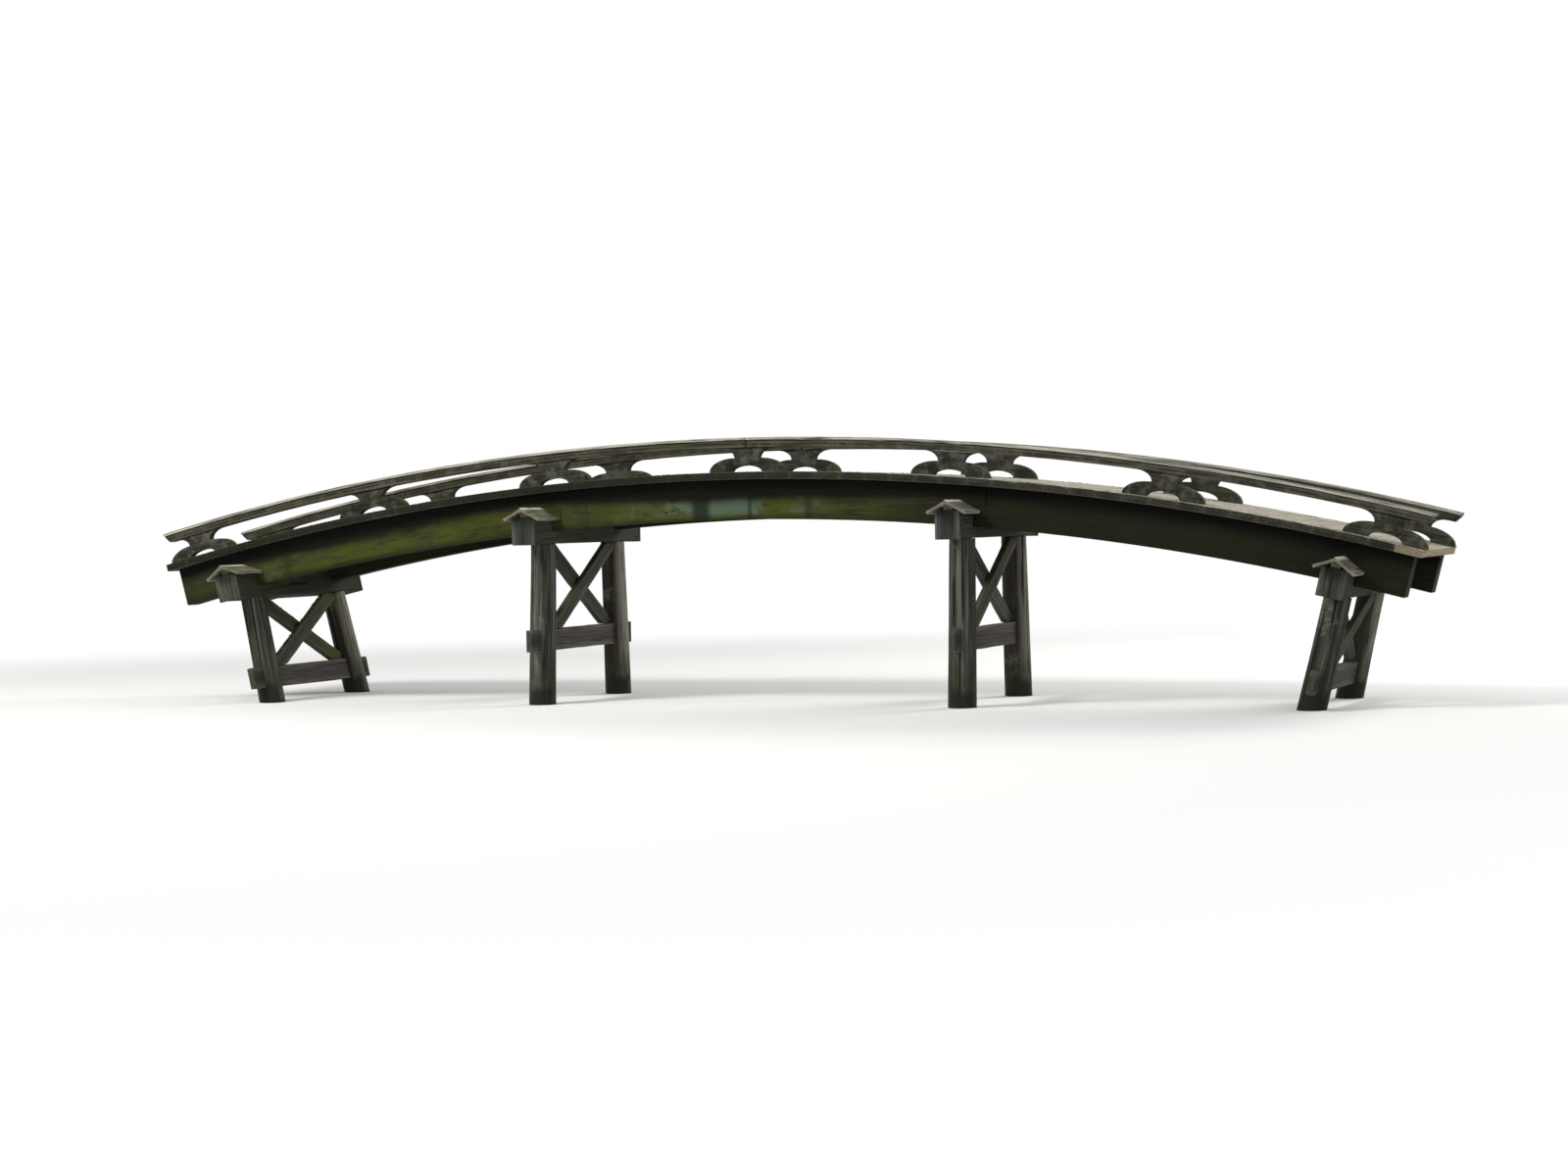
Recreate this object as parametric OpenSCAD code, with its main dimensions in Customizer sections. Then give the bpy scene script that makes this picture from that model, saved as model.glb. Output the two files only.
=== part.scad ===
// Moon bridge: an arched timber footbridge for a garden pond, on four braced bents.
// Sizes are in millimetres. X runs along the bridge, Y across it and Z up.
// The legs are cut off level at z = 0, the water line, and the origin lies below mid-span.

/* [Arch] */
// Length of the deck, measured level from end to end
deck_length = 12400; // [11600:50:14000]
// Radius of the walking surface
deck_radius = 24600; // [20000:100:30000]
// Height of the walking surface above the water at mid-span
crown_height = 2155; // [2000:5:2600]

/* [Deck] */
// Width of the deck across the bridge
deck_width = 1800; // [1700:10:2400]
// Thickness of a deck plank
plank_thickness = 70; // [40:5:100]
// Spacing of the planks along the arch, which is then evened out
plank_pitch = 240; // [200:5:400]
// Open joint between two planks
plank_gap = 8; // [4:1:15]

/* [Girders] */
// Depth of a girder
girder_depth = 370; // [300:5:450]
// Thickness of a girder
girder_width = 200; // [140:5:260]
// Distance between the centre lines of the two girders
girder_spread = 1400; // [1200:10:1480]
// How far a girder stops short of the end of the deck
girder_inset = 70; // [20:5:200]
// Length of the halved splice over a middle bent
splice_length = 420; // [200:10:600]

/* [Balustrade] */
// Spacing of the carved blocks along the arch
block_pitch = 1970; // [1700:10:2050]
// Number of carved blocks on each side of the middle one
blocks_each_side = 3; // [2:1:3]
// Width of a block across its foot
block_foot = 740; // [600:10:900]
// Width of a block at its waist
block_waist = 240; // [160:10:320]
// Width of a block under the rail
block_head = 520; // [400:10:640]
// Height of a block
block_height = 220; // [180:2:300]
// Height of the waist above the deck
waist_height = 128; // [90:2:160]
// Thickness of a block
block_thickness = 80; // [50:5:110]
// Width of the arched opening in a foot
arch_width = 300; // [200:10:360]
// Height of the arched opening in a foot
arch_height = 56; // [30:2:80]
// Distance between the centre lines of the two rails
rail_spread = 1450; // [1300:10:1560]
// Depth of a rail
rail_depth = 70; // [50:2:100]
// Width of a rail
rail_width = 116; // [90:2:150]
// Thickness of the cap board on a rail
cap_thickness = 26; // [18:1:40]
// Width of the cap board on a rail
cap_width = 150; // [120:2:190]
// How far the rails run on past the end of the deck
rail_overhang = 10; // [0:5:250]
// Slope cut under the tip of a rail
tip_slope = 35; // [20:5:60]

/* [Bents] */
// Distance of a middle bent from mid-span
middle_bent_x = 2085; // [1800:5:2400]
// Distance of the left bank bent from the end of the deck
left_bent_inset = 900; // [600:10:1300]
// Distance of the right bank bent from the end of the deck
right_bent_inset = 720; // [600:10:1300]
// Depth of a head beam
head_depth = 250; // [200:5:300]
// Thickness of a head beam
head_width = 220; // [160:5:260]
// Length of a head beam
head_length = 2360; // [2240:10:2600]
// How far a head beam is let into the girders
head_cog = 140; // [60:5:180]
// Distance between the centres of two legs at the head beam
leg_spread = 1560; // [1400:10:1700]
// Slope of a leg across the bridge
leg_splay = 3; // [0:0.5:6]
// Diameter of a leg at its top
leg_top_d = 246; // [200:2:300]
// Growth of the diameter of a leg for each millimetre down
leg_taper = 0.016; // [0:0.002:0.04]
// Length of the square tenon on a leg
tenon_length = 90; // [40:5:140]
// Width of the square tenon on a leg
tenon_width = 90; // [60:5:120]

/* [Ties and braces] */
// Height of the middle of a tie above the water at a middle bent
middle_tie_z = 605; // [450:5:800]
// Height of the middle of a tie above the water at a bank bent
bank_tie_z = 245; // [220:5:450]
// Depth of a tie
tie_depth = 210; // [150:5:250]
// Thickness of a tie
tie_width = 70; // [50:5:100]
// Length of a tie
tie_length = 2240; // [2100:10:2500]
// Depth of a brace
brace_depth = 150; // [80:5:170]
// Thickness of a brace
brace_width = 60; // [40:5:70]

/* [End covers] */
// Thickness of the board over the end of a head beam
end_board = 30; // [20:1:40]
// How far an end board stands out round the end of the beam
end_board_lip = 6; // [0:1:25]
// Width of a rain cap down to its eaves
rain_cap_width = 420; // [320:5:480]
// Slope of a rain cap
rain_cap_pitch = 28; // [20:1:35]
// Thickness of the boards of a rain cap
rain_cap_board = 28; // [18:1:40]
// How far a rain cap runs out past the end board
rain_cap_overhang = 45; // [20:5:90]

/* [Clearances] */
// Gap between pieces that seat on each other
seat = 0.3; // [0.2:0.1:0.6]
// Gap at the butt of two lengths of timber
butt_gap = 3; // [1:0.5:6]

/* [Hidden] */

// Colours of the weathered timber
girder_colour = "#4d5230";
deck_colour = "#8b8577";
rail_colour = "#5b5449";
cap_colour = "#9a9488";
leg_colour = "#6d6a62";
tie_colour = "#777075";
board_colour = "#7b838a";
rain_colour = "#a39478";

// Sides of the bridge along X and along Y
LEFT = -1;
RIGHT = 1;
FRONT = -1;
BACK = 1;

// Sizes of the blocks that cut away what isn't wanted
cut_length = 2 * deck_length;
cut_width = 4 * deck_width;
cut_height = 2 * crown_height;
// Short run of one solid into the next, so that they join as one piece
merge = 5;
// Number of straight steps in a carved curve
curve_steps = 8;

// Centre of all the arcs, on the Z axis
arc_centre_z = crown_height - deck_radius;
girder_top_r = deck_radius - plank_thickness - seat;
girder_bottom_r = girder_top_r - girder_depth;
girder_mid_r = (girder_top_r + girder_bottom_r) / 2;
block_bottom_r = deck_radius + 2 * seat;
rail_bottom_r = deck_radius + block_height;
rail_top_r = rail_bottom_r + rail_depth;
cap_bottom_r = rail_top_r + seat;

// Angles along the arch, from the vertical
deck_end = asin(deck_length / 2 / deck_radius);
girder_end = asin((deck_length / 2 - girder_inset) / deck_radius);
rail_end = asin((deck_length / 2 + rail_overhang) / deck_radius);
splice_mid = asin(middle_bent_x / girder_bottom_r);
splice_half = angle_of(splice_length / 2, girder_bottom_r);
butt_half = angle_of(butt_gap / 2, deck_radius);

// Planks are spaced evenly over the deck
plank_count = round(2 * deck_end / angle_of(plank_pitch, deck_radius));
plank_step = 2 * deck_end / plank_count;
plank_width = length_of(plank_step, deck_radius) - plank_gap;
left_planks = floor(plank_count / 3);

// Bents: the legs hang from the underside of the head beam
head_top = head_cog;
head_bottom = head_cog - head_depth;
leg_length = crown_height;
left_bank_x = left_bent_inset - deck_length / 2;
right_bank_x = deck_length / 2 - right_bent_inset;

function angle_of(length, r) = length / r * 180 / PI;
function length_of(angle, r) = angle * PI / 180 * r;
// How far an arc has dropped below its crown at a distance x
function drop(x, r) = sqrt(r * r - x * x) - r;
function girder_bottom_z(x) = arc_centre_z + sqrt(girder_bottom_r * girder_bottom_r - x * x);
function bent_x(end, bank) =
    !bank ? end * middle_bent_x : end == LEFT ? left_bank_x : right_bank_x;
function bent_lean(end, bank) = bank ? asin(bent_x(end, bank) / girder_bottom_r) : 0;
// Distance from the girder's underside down the bent to a height above the water
function depth_to(z, end, bank) =
    (girder_bottom_z(bent_x(end, bank)) - z) / cos(bent_lean(end, bank));
function tie_z(bank) = bank ? bank_tie_z : middle_tie_z;

// Puts children on the arch: X along it, Z out from it, with z = 0 at the given radius
module on_arc(angle, r) {
    translate([0, 0, arc_centre_z]) rotate([0, angle, 0]) translate([0, 0, r]) children();
}

// A curved bar of rectangular section, from one angle to another on the right-hand side.
// Bars that are drawn from the same angle end there in exactly the same plane.
module arc_bar(r0, r1, y_mid, width, from, to) {
    translate([0, y_mid - width / 2, arc_centre_z])
        rotate([0, from, 0])
            rotate([0, -90, 0])
                rotate([-90, 0, 0])
                    rotate_extrude(angle = to - from, $fn = 256)
                        translate([r0, 0]) square([r1 - r0, width]);
}

// Mirrors children to the left-hand side
module to_end(end) {
    mirror([end == LEFT ? 1 : 0, 0, 0]) children();
}

// Puts children in the frame of a bent: z = 0 at the underside of the girders
module on_bent(end, bank) {
    x = bent_x(end, bank);
    translate([x, 0, girder_bottom_z(x)]) rotate([0, bent_lean(end, bank), 0]) children();
}

module box(x, y, z0, z1) {
    translate([-x / 2, -y / 2, z0]) cube([x, y, z1 - z0]);
}

// Everything below the water line
module below_water() {
    box(cut_length, cut_width, -cut_height, 0);
}

// Legs
module leg_log(side, grow = 0) {
    translate([0, side * leg_spread / 2, head_bottom])
        rotate([side * leg_splay, 0, 0])
            translate([0, 0, -leg_length])
                cylinder(
                    h = leg_length + leg_top_d / 2,
                    d1 = leg_top_d + leg_taper * leg_length + 2 * grow,
                    d2 = leg_top_d - leg_taper * leg_top_d / 2 + 2 * grow,
                    $fn = 64
                );
}

module leg_tenon(side, grow = 0) {
    translate([0, side * leg_spread / 2, 0])
        box(tenon_width + 2 * grow, tenon_width + 2 * grow,
            head_bottom - leg_top_d / 4, head_bottom + tenon_length + grow);
}

module tie_bar(end, bank, grow = 0) {
    mid = -depth_to(tie_z(bank), end, bank);
    box(tie_width + 2 * grow, tie_length, mid - tie_depth / 2 - grow, mid + tie_depth / 2 + grow);
}

module leg(end, bank, side) {
    color(leg_colour)
    difference() {
        on_bent(end, bank)
            difference() {
                union() {
                    difference() {
                        leg_log(side);
                        box(cut_width, cut_width, head_bottom - seat, cut_height);
                    }
                    leg_tenon(side);
                }
                tie_bar(end, bank, seat);
            }
        below_water();
    }
}

// Head beams
module head_bar(grow = 0) {
    box(head_width + 2 * grow, head_length + 2 * grow, head_bottom - grow, head_top + grow);
}

module head_beam(end, bank) {
    color(leg_colour)
    on_bent(end, bank)
        difference() {
            head_bar();
            leg_tenon(FRONT, seat);
            leg_tenon(BACK, seat);
        }
}

module tie(end, bank) {
    color(tie_colour) on_bent(end, bank) tie_bar(end, bank);
}

// Braces: two crossing bars, side by side, that fill the panel from corner to corner
module brace_bar(end, bank, side, panel_bottom, panel_top) {
    slope = atan2(panel_top - panel_bottom, leg_spread - leg_top_d);
    translate([side * (brace_width + seat) / 2, 0, (panel_top + panel_bottom) / 2])
        rotate([side * slope, 0, 0])
            box(brace_width, leg_spread / cos(slope), -brace_depth / 2, brace_depth / 2);
}

module braces(end, bank) {
    panel_top = head_bottom - seat;
    panel_bottom = tie_depth / 2 + seat - depth_to(tie_z(bank), end, bank);
    color(leg_colour)
    on_bent(end, bank)
        for (side = [FRONT, BACK])
            difference() {
                brace_bar(end, bank, side, panel_bottom, panel_top);
                box(cut_width, cut_width, panel_top, cut_height);
                box(cut_width, cut_width, -cut_height, panel_bottom);
                leg_log(FRONT, seat);
                leg_log(BACK, seat);
            }
}

// End boards and rain caps
module end_boards(end, bank) {
    color(board_colour)
    on_bent(end, bank)
        for (side = [FRONT, BACK])
            translate([0, side * (head_length / 2 + seat + end_board / 2), 0])
                box(head_width + 2 * end_board_lip, end_board,
                    head_bottom - end_board_lip, head_top);
}

// Two boards that meet at a ridge, on a block that ends with the beam
module rain_cap_boards(length) {
    half = rain_cap_width / 2;
    ridge = head_width / 2 * tan(rain_cap_pitch);
    eaves = ridge - half * tan(rain_cap_pitch);
    board = rain_cap_board / cos(rain_cap_pitch);
    linear_extrude(height = length)
        polygon([
            [0, ridge], [half, eaves], [half, eaves + board],
            [0, ridge + board], [-half, eaves + board], [-half, eaves],
        ]);
}

module rain_cap_block(length) {
    half = head_width / 2 - 2 * merge;
    shoulder = 2 * merge * tan(rain_cap_pitch) + merge;
    linear_extrude(height = length)
        polygon([
            [-half, 0], [half, 0], [half, shoulder],
            [0, shoulder + half * tan(rain_cap_pitch)], [-half, shoulder],
        ]);
}

module rain_caps(end, bank) {
    inner = girder_spread / 2 + girder_width / 2 + seat;
    color(rain_colour)
    on_bent(end, bank)
        for (side = [FRONT, BACK])
            mirror([0, side == FRONT ? 1 : 0, 0])
                translate([0, inner, head_top + seat])
                    rotate([90, 0, 180]) {
                        rain_cap_boards(head_length / 2 + end_board + rain_cap_overhang - inner);
                        rain_cap_block(head_length / 2 - inner);
                    }
}

// Girders: three lengths a side, halved over the middle bents and cogged over the head beams
module girder_bar(side, from, to, r0, r1) {
    arc_bar(r0, r1, side * girder_spread / 2, girder_width, from, to);
}

module head_notches() {
    for (end = [LEFT, RIGHT], bank = [false, true])
        on_bent(end, bank) head_bar(seat);
}

// The middle length has the upper half of each splice
module girder_middle(side) {
    shoulder = splice_mid - splice_half - butt_half;
    tip = splice_mid + splice_half - butt_half;
    color(girder_colour)
    difference() {
        for (end = [LEFT, RIGHT])
            to_end(end) {
                girder_bar(side, 0, tip, girder_mid_r + seat / 2, girder_top_r);
                girder_bar(side, 0, shoulder, girder_bottom_r, girder_mid_r + merge);
            }
        head_notches();
    }
}

// An outer length has the lower half of its splice
module girder_outer(side, end) {
    shoulder = splice_mid + splice_half + butt_half;
    tip = splice_mid - splice_half + butt_half;
    color(girder_colour)
    difference() {
        to_end(end) {
            girder_bar(side, girder_end, shoulder, girder_mid_r - merge, girder_top_r);
            girder_bar(side, girder_end, tip, girder_bottom_r, girder_mid_r - seat / 2);
        }
        head_notches();
    }
}

// Deck: square-edged planks, each tangent to the arch
module planks(first, last) {
    color(deck_colour)
    for (i = [first : last])
        on_arc(-deck_end + (i + 0.5) * plank_step, deck_radius)
            box(plank_width, deck_width, -plank_thickness, 0);
}

// Balustrade blocks: an arched foot, a narrow waist and a flared head
module block_outline() {
    foot = block_foot / 2;
    waist = block_waist / 2;
    head = block_head / 2;
    top = rail_bottom_r - seat - block_bottom_r;
    right = concat(
        [for (x = [arch_width / 2, foot]) [x, drop(x, block_bottom_r)]],
        [for (i = [1 : curve_steps - 1]) let (t = 90 * i / curve_steps)
            [waist + (foot - waist) * cos(t), waist_height * sin(t)]],
        [[waist, waist_height]],
        [for (i = [1 : curve_steps]) let (t = 90 * i / curve_steps)
            [waist + (head - waist) * (1 - cos(t)),
                waist_height + (top + drop(head, rail_bottom_r) - waist_height) * sin(t)]],
        [[head / 2, top + drop(head / 2, rail_bottom_r)]]
    );
    left = [for (i = [len(right) - 1 : -1 : 0]) [-right[i][0], right[i][1]]];
    polygon(concat(right, [[0, top]], left));
}

module block() {
    arch_r = (arch_width * arch_width / 4 + arch_height * arch_height) / (2 * arch_height);
    rotate([90, 0, 0])
        linear_extrude(height = block_thickness, center = true)
            difference() {
                block_outline();
                translate([0, arch_height - arch_r]) circle(r = arch_r, $fn = 96);
            }
}

module blocks(side) {
    color(rail_colour)
    for (i = [-blocks_each_side : blocks_each_side])
        on_arc(angle_of(i * block_pitch, deck_radius), block_bottom_r)
            translate([0, side * rail_spread / 2, 0]) block();
}

// Rails, butted at mid-span and cut back under their tips
module rail(side, end) {
    tip_cut = rail_depth * tan(tip_slope);
    y = side * rail_spread / 2;
    color(rail_colour)
    to_end(end)
        difference() {
            arc_bar(rail_bottom_r, rail_top_r, y, rail_width, butt_half, rail_end);
            on_arc(rail_end, rail_bottom_r)
                translate([-tip_cut, y, 0])
                    rotate([0, tip_slope - 90, 0])
                        translate([0, 0, -rail_depth * 2])
                            box(rail_depth * 8, rail_width * 2, 0, rail_depth * 2);
        }
}

module rail_cap(side) {
    color(cap_colour)
    for (end = [LEFT, RIGHT])
        to_end(end)
            arc_bar(cap_bottom_r, cap_bottom_r + cap_thickness, side * rail_spread / 2, cap_width,
                butt_half, rail_end);
}

leg(LEFT, true, FRONT);  // leg_left_bank_front
leg(LEFT, true, BACK);  // leg_left_bank_back
leg(LEFT, false, FRONT);  // leg_left_mid_front
leg(LEFT, false, BACK);  // leg_left_mid_back
leg(RIGHT, false, FRONT);  // leg_right_mid_front
leg(RIGHT, false, BACK);  // leg_right_mid_back
leg(RIGHT, true, FRONT);  // leg_right_bank_front
leg(RIGHT, true, BACK);  // leg_right_bank_back
head_beam(LEFT, true);  // head_beam_left_bank
head_beam(LEFT, false);  // head_beam_left_mid
head_beam(RIGHT, false);  // head_beam_right_mid
head_beam(RIGHT, true);  // head_beam_right_bank
tie(LEFT, true);  // tie_left_bank
tie(LEFT, false);  // tie_left_mid
tie(RIGHT, false);  // tie_right_mid
tie(RIGHT, true);  // tie_right_bank
braces(LEFT, true);  // braces_left_bank
braces(LEFT, false);  // braces_left_mid
braces(RIGHT, false);  // braces_right_mid
braces(RIGHT, true);  // braces_right_bank
end_boards(LEFT, true);  // end_boards_left_bank
end_boards(LEFT, false);  // end_boards_left_mid
end_boards(RIGHT, false);  // end_boards_right_mid
end_boards(RIGHT, true);  // end_boards_right_bank
rain_caps(LEFT, true);  // rain_caps_left_bank
rain_caps(LEFT, false);  // rain_caps_left_mid
rain_caps(RIGHT, false);  // rain_caps_right_mid
rain_caps(RIGHT, true);  // rain_caps_right_bank
girder_outer(FRONT, LEFT);  // girder_front_left
girder_middle(FRONT);  // girder_front_middle
girder_outer(FRONT, RIGHT);  // girder_front_right
girder_outer(BACK, LEFT);  // girder_back_left
girder_middle(BACK);  // girder_back_middle
girder_outer(BACK, RIGHT);  // girder_back_right
planks(0, left_planks - 1);  // deck_left
planks(left_planks, plank_count - left_planks - 1);  // deck_middle
planks(plank_count - left_planks, plank_count - 1);  // deck_right
blocks(FRONT);  // blocks_front
blocks(BACK);  // blocks_back
rail(FRONT, LEFT);  // rail_front_left
rail(FRONT, RIGHT);  // rail_front_right
rail(BACK, LEFT);  // rail_back_left
rail(BACK, RIGHT);  // rail_back_right
rail_cap(FRONT);  // rail_cap_front
rail_cap(BACK);  // rail_cap_back
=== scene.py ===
# %% [markdown]
# # A moon bridge in weathered timber
# This lesson dresses an arched garden bridge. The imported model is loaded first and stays
# as it is: it is the frame that every piece made here is fitted to. Everything is in
# metres. The legs stand on z = 0, and the middle of the span is over the origin.

# %% Load the frame
import math

import bmesh
import bpy
import numpy as np
from mathutils import Matrix, Vector, noise


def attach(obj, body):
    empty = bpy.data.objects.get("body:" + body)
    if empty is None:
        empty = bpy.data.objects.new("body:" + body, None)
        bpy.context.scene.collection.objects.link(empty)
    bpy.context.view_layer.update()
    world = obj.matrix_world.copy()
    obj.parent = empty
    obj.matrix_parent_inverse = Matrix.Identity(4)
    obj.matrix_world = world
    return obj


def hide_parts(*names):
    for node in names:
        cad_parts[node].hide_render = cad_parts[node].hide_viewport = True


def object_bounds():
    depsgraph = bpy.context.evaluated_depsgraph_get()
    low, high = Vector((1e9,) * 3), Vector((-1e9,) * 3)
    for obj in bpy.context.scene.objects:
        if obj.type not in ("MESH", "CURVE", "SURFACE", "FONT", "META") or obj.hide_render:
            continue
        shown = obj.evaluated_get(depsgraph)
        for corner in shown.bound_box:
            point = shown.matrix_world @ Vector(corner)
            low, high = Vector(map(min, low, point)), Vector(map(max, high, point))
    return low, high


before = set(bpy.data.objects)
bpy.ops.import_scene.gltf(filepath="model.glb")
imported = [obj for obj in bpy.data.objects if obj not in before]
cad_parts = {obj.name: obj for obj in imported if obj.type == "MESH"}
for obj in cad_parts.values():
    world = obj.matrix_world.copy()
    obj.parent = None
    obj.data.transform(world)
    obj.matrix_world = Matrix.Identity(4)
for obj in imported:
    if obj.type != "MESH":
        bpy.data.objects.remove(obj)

frame_low, frame_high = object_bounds()
print("frame box", [round(v, 3) for v in (*frame_low, *frame_high)])

# %% [markdown]
# ## Camera
# The camera stands in front of the bridge and well to its right, 1.76 m above the feet of
# the legs. From that place the arch hides little of its far side. A long lens lets the
# bridge fill the picture, and changes no slope of any line.

# %% Camera
EYE = Vector((10.477, -26.442, 1.757))
LOOK_AT = Vector((0.05, 0.0, 1.06))
CAMERA_ROLL = math.radians(-1.0)
LENS, FAR_CLIP = 69.0, 400


def new_object(name, data):
    made = bpy.data.objects.new(name, data)
    bpy.context.scene.collection.objects.link(made)
    return made


def facing(place, target):
    """Turn that points an object's -z axis from a place at a target."""
    return (Vector(target) - Vector(place)).to_track_quat("-Z", "Y").to_matrix()


eye_data = bpy.data.cameras.new("camera")
eye_data.lens, eye_data.clip_end = LENS, FAR_CLIP
camera = new_object("camera", eye_data)
camera.location = EYE
camera.rotation_euler = (facing(EYE, LOOK_AT) @ Matrix.Rotation(CAMERA_ROLL, 3, "Z")).to_euler()
bpy.context.scene.camera = camera

# %% [markdown]
# ## Nodes in few words
# Materials and Geometry Nodes are both trees of nodes. One helper adds a node and fills
# it in. Plain values go into its first sockets, names in small letters are options,
# `Base_Color` is the socket of that name and `_7` the eighth one. A node given as a value
# stands for its first output, and a kind without the word Node is a shader node. The
# colours of wood, rust and moss are dark, so they are written in thousandths, where
# white would be 1000.

# %% Node helpers
def emptied(owner):
    """The node tree of a material or a world, cleared for use."""
    owner.use_nodes = True
    owner.node_tree.nodes.clear()
    return owner.node_tree


def light(colour):
    """A colour in thousandths, as the four numbers that a socket takes."""
    return (*(part / 1000 for part in colour), 1)


class Tree:
    """A tree of nodes, with shorthand for those that are used most."""

    def __init__(self, tree):
        self.tree = tree

    def add(self, kind, *first, **named):
        """Adds a node, sets its options, and fills its sockets with values or links."""
        made = self.tree.nodes.new(kind if "Node" in kind else "ShaderNode" + kind)
        filled = dict(enumerate(first))
        for name, value in named.items():
            if name[0].islower():
                setattr(made, name, value)
            else:
                filled[int(name[1:]) if name[0] == "_" else name.replace("_", " ")] = value
        for key, value in filled.items():
            if isinstance(value, bpy.types.Node):
                value = value.outputs[0]
            if isinstance(value, bpy.types.NodeSocket):
                self.tree.links.new(value, made.inputs[key])
            else:
                made.inputs[key].default_value = value
        return made

    def calc(self, operation, *values):
        return self.add("Math", *values, operation=operation)

    def vector(self, operation, *values, **more):
        return self.add("VectorMath", *values, operation=operation, **more)

    def part(self, vector, axis):
        return self.add("SeparateXYZ", vector).outputs[axis]

    def between(self, value, low, high, start=0.0, stop=1.0):
        """A soft step from start to stop, as the value goes from low to high."""
        return self.add("MapRange", value, low, high, start, stop, interpolation_type="SMOOTHSTEP")

    def spot(self):
        """The place on the whole bridge."""
        return self.add("TexCoord").outputs["Object"]

    def cloud(self, vector, scale, detail, **more):
        return self.add("TexNoise", vector, Scale=scale, Detail=detail, **more)

    def shades(self, value, *stops):
        """A colour ramp, from its two ends and any stop between them."""
        made = self.add("ValToRGB", value)
        marks = made.color_ramp.elements
        for index, (position, colour) in enumerate(stops):
            mark = marks[index] if index < 2 else marks.new(position)
            mark.position, mark.color = position, light(colour)
        return made

    def paint(self, colour, height, strength, distance, **look):
        """Ends a material: colour, relief and look go into one shader."""
        relief = self.add("Bump", Height=height, Strength=strength, Distance=distance)
        shader = self.add("BsdfPrincipled", Base_Color=colour, Normal=relief, **look)
        self.add("OutputMaterial", shader)


# %% [markdown]
# ## Floor and light
# The floor is one large pale disc. Near the bridge it is plain matt paint, which keeps
# the soft shadow that shows where the legs stand. Far away it turns into even white, so
# that no horizon shows, and from below it is clear.

# %% Floor
FLOOR_RADIUS, FLOOR_DROP = 120.0, 0.002
SHADOW_REACH, WHITE_FROM = 9.0, 17.0


def object_of(name, shape):
    """Turns a finished bmesh into an object."""
    mesh = bpy.data.meshes.new(name)
    shape.to_mesh(mesh)
    shape.free()
    return new_object(name, mesh)


def straight_rays(tree):
    """One for rays that come straight from the camera, off a mirror or through glass."""
    rays = tree.add("LightPath").outputs
    seen = tree.calc("MAXIMUM", rays["Is Camera Ray"], rays["Is Glossy Ray"])
    return tree.calc("MAXIMUM", seen, rays["Is Transmission Ray"])


floor_material = bpy.data.materials.new("pale_floor")
tree = Tree(emptied(floor_material))
matt = tree.add("BsdfPrincipled", Base_Color=(0.8, 0.8, 0.79, 1), Roughness=0.9)
white = tree.add("Emission", Color=(1, 1, 1, 1), Strength=1.0)
away = tree.vector("LENGTH", tree.spot()).outputs["Value"]
far = tree.calc("MULTIPLY", tree.between(away, SHADOW_REACH, WHITE_FROM), straight_rays(tree))
above = tree.add("MixShader", far, matt, white)
under = tree.calc("MULTIPLY", tree.add("NewGeometry").outputs["Backfacing"],
                  tree.add("LightPath").outputs["Is Camera Ray"])
both = tree.add("MixShader", under, above, tree.add("BsdfTransparent"))
tree.add("OutputMaterial", both)

disc = bmesh.new()
bmesh.ops.create_circle(disc, cap_ends=True, segments=96, radius=FLOOR_RADIUS)
floor = object_of("floor", disc)
floor.data.materials.append(floor_material)
floor.location.z = -FLOOR_DROP

# %% [markdown]
# The bridge stands in open shade, so most of the light is soft and comes from all round.
# A large warm lamp from the left front models the round legs, a weak cool one from the
# right keeps their far sides readable, and one from behind catches the rails.

# %% World and lamps
bpy.context.scene.view_settings.view_transform = "Standard"
world = bpy.data.worlds.new("studio")
bpy.context.scene.world = world
tree = Tree(emptied(world))
soft = tree.add("Background", Color=(0.93, 0.96, 1.0, 1), Strength=0.5)
blank = tree.add("Background", Color=(1, 1, 1, 1), Strength=1.0)
tree.add("OutputWorld", tree.add("MixShader", straight_rays(tree), soft, blank))


def lamp(name, place, size, watts, colour):
    data = bpy.data.lights.new(name, "AREA")
    data.shape, data.size, data.energy, data.color = "DISK", size, watts, colour
    made = new_object(name, data)
    made.location = place
    made.rotation_euler = facing(place, (0, 0, 1)).to_euler()


lamp("key_lamp", (-9, -13, 14), 6.0, 3300, (1.0, 0.97, 0.91))
lamp("fill_lamp", (14, -13, 6), 10.0, 450, (0.9, 0.95, 1.0))
lamp("back_lamp", (10, 13, 9), 7.0, 2000, (1.0, 0.97, 0.92))

# %% [markdown]
# ## The arch
# Deck, girders and rails all turn about one centre, far below the bridge. A point of it
# is then an angle along the arch and a radius, which makes every curved piece a straight
# one in those two numbers.

# %% Arch values
ARCH_RADIUS = 24.6
ARCH_CENTRE = 2.155 - ARCH_RADIUS
DECK_LENGTH, DECK_WIDTH, PLANK_THICKNESS = 12.4, 1.8, 0.07
SEAT = 0.0003
GIRDER_DEPTH, GIRDER_WIDTH, GIRDER_SPREAD = 0.37, 0.2, 1.4
GIRDER_BOTTOM = ARCH_RADIUS - PLANK_THICKNESS - SEAT - GIRDER_DEPTH
GIRDER_MIDDLE = GIRDER_BOTTOM + GIRDER_DEPTH / 2
DECK_END = math.asin(DECK_LENGTH / 2 / ARCH_RADIUS)
SIDES = {"front": -1, "back": 1}


def at(x, y=0.0, z=0.0):
    return Matrix.Translation((x, y, z))


def turned(angle, axis="Y"):
    return Matrix.Rotation(angle, 4, axis)


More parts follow.
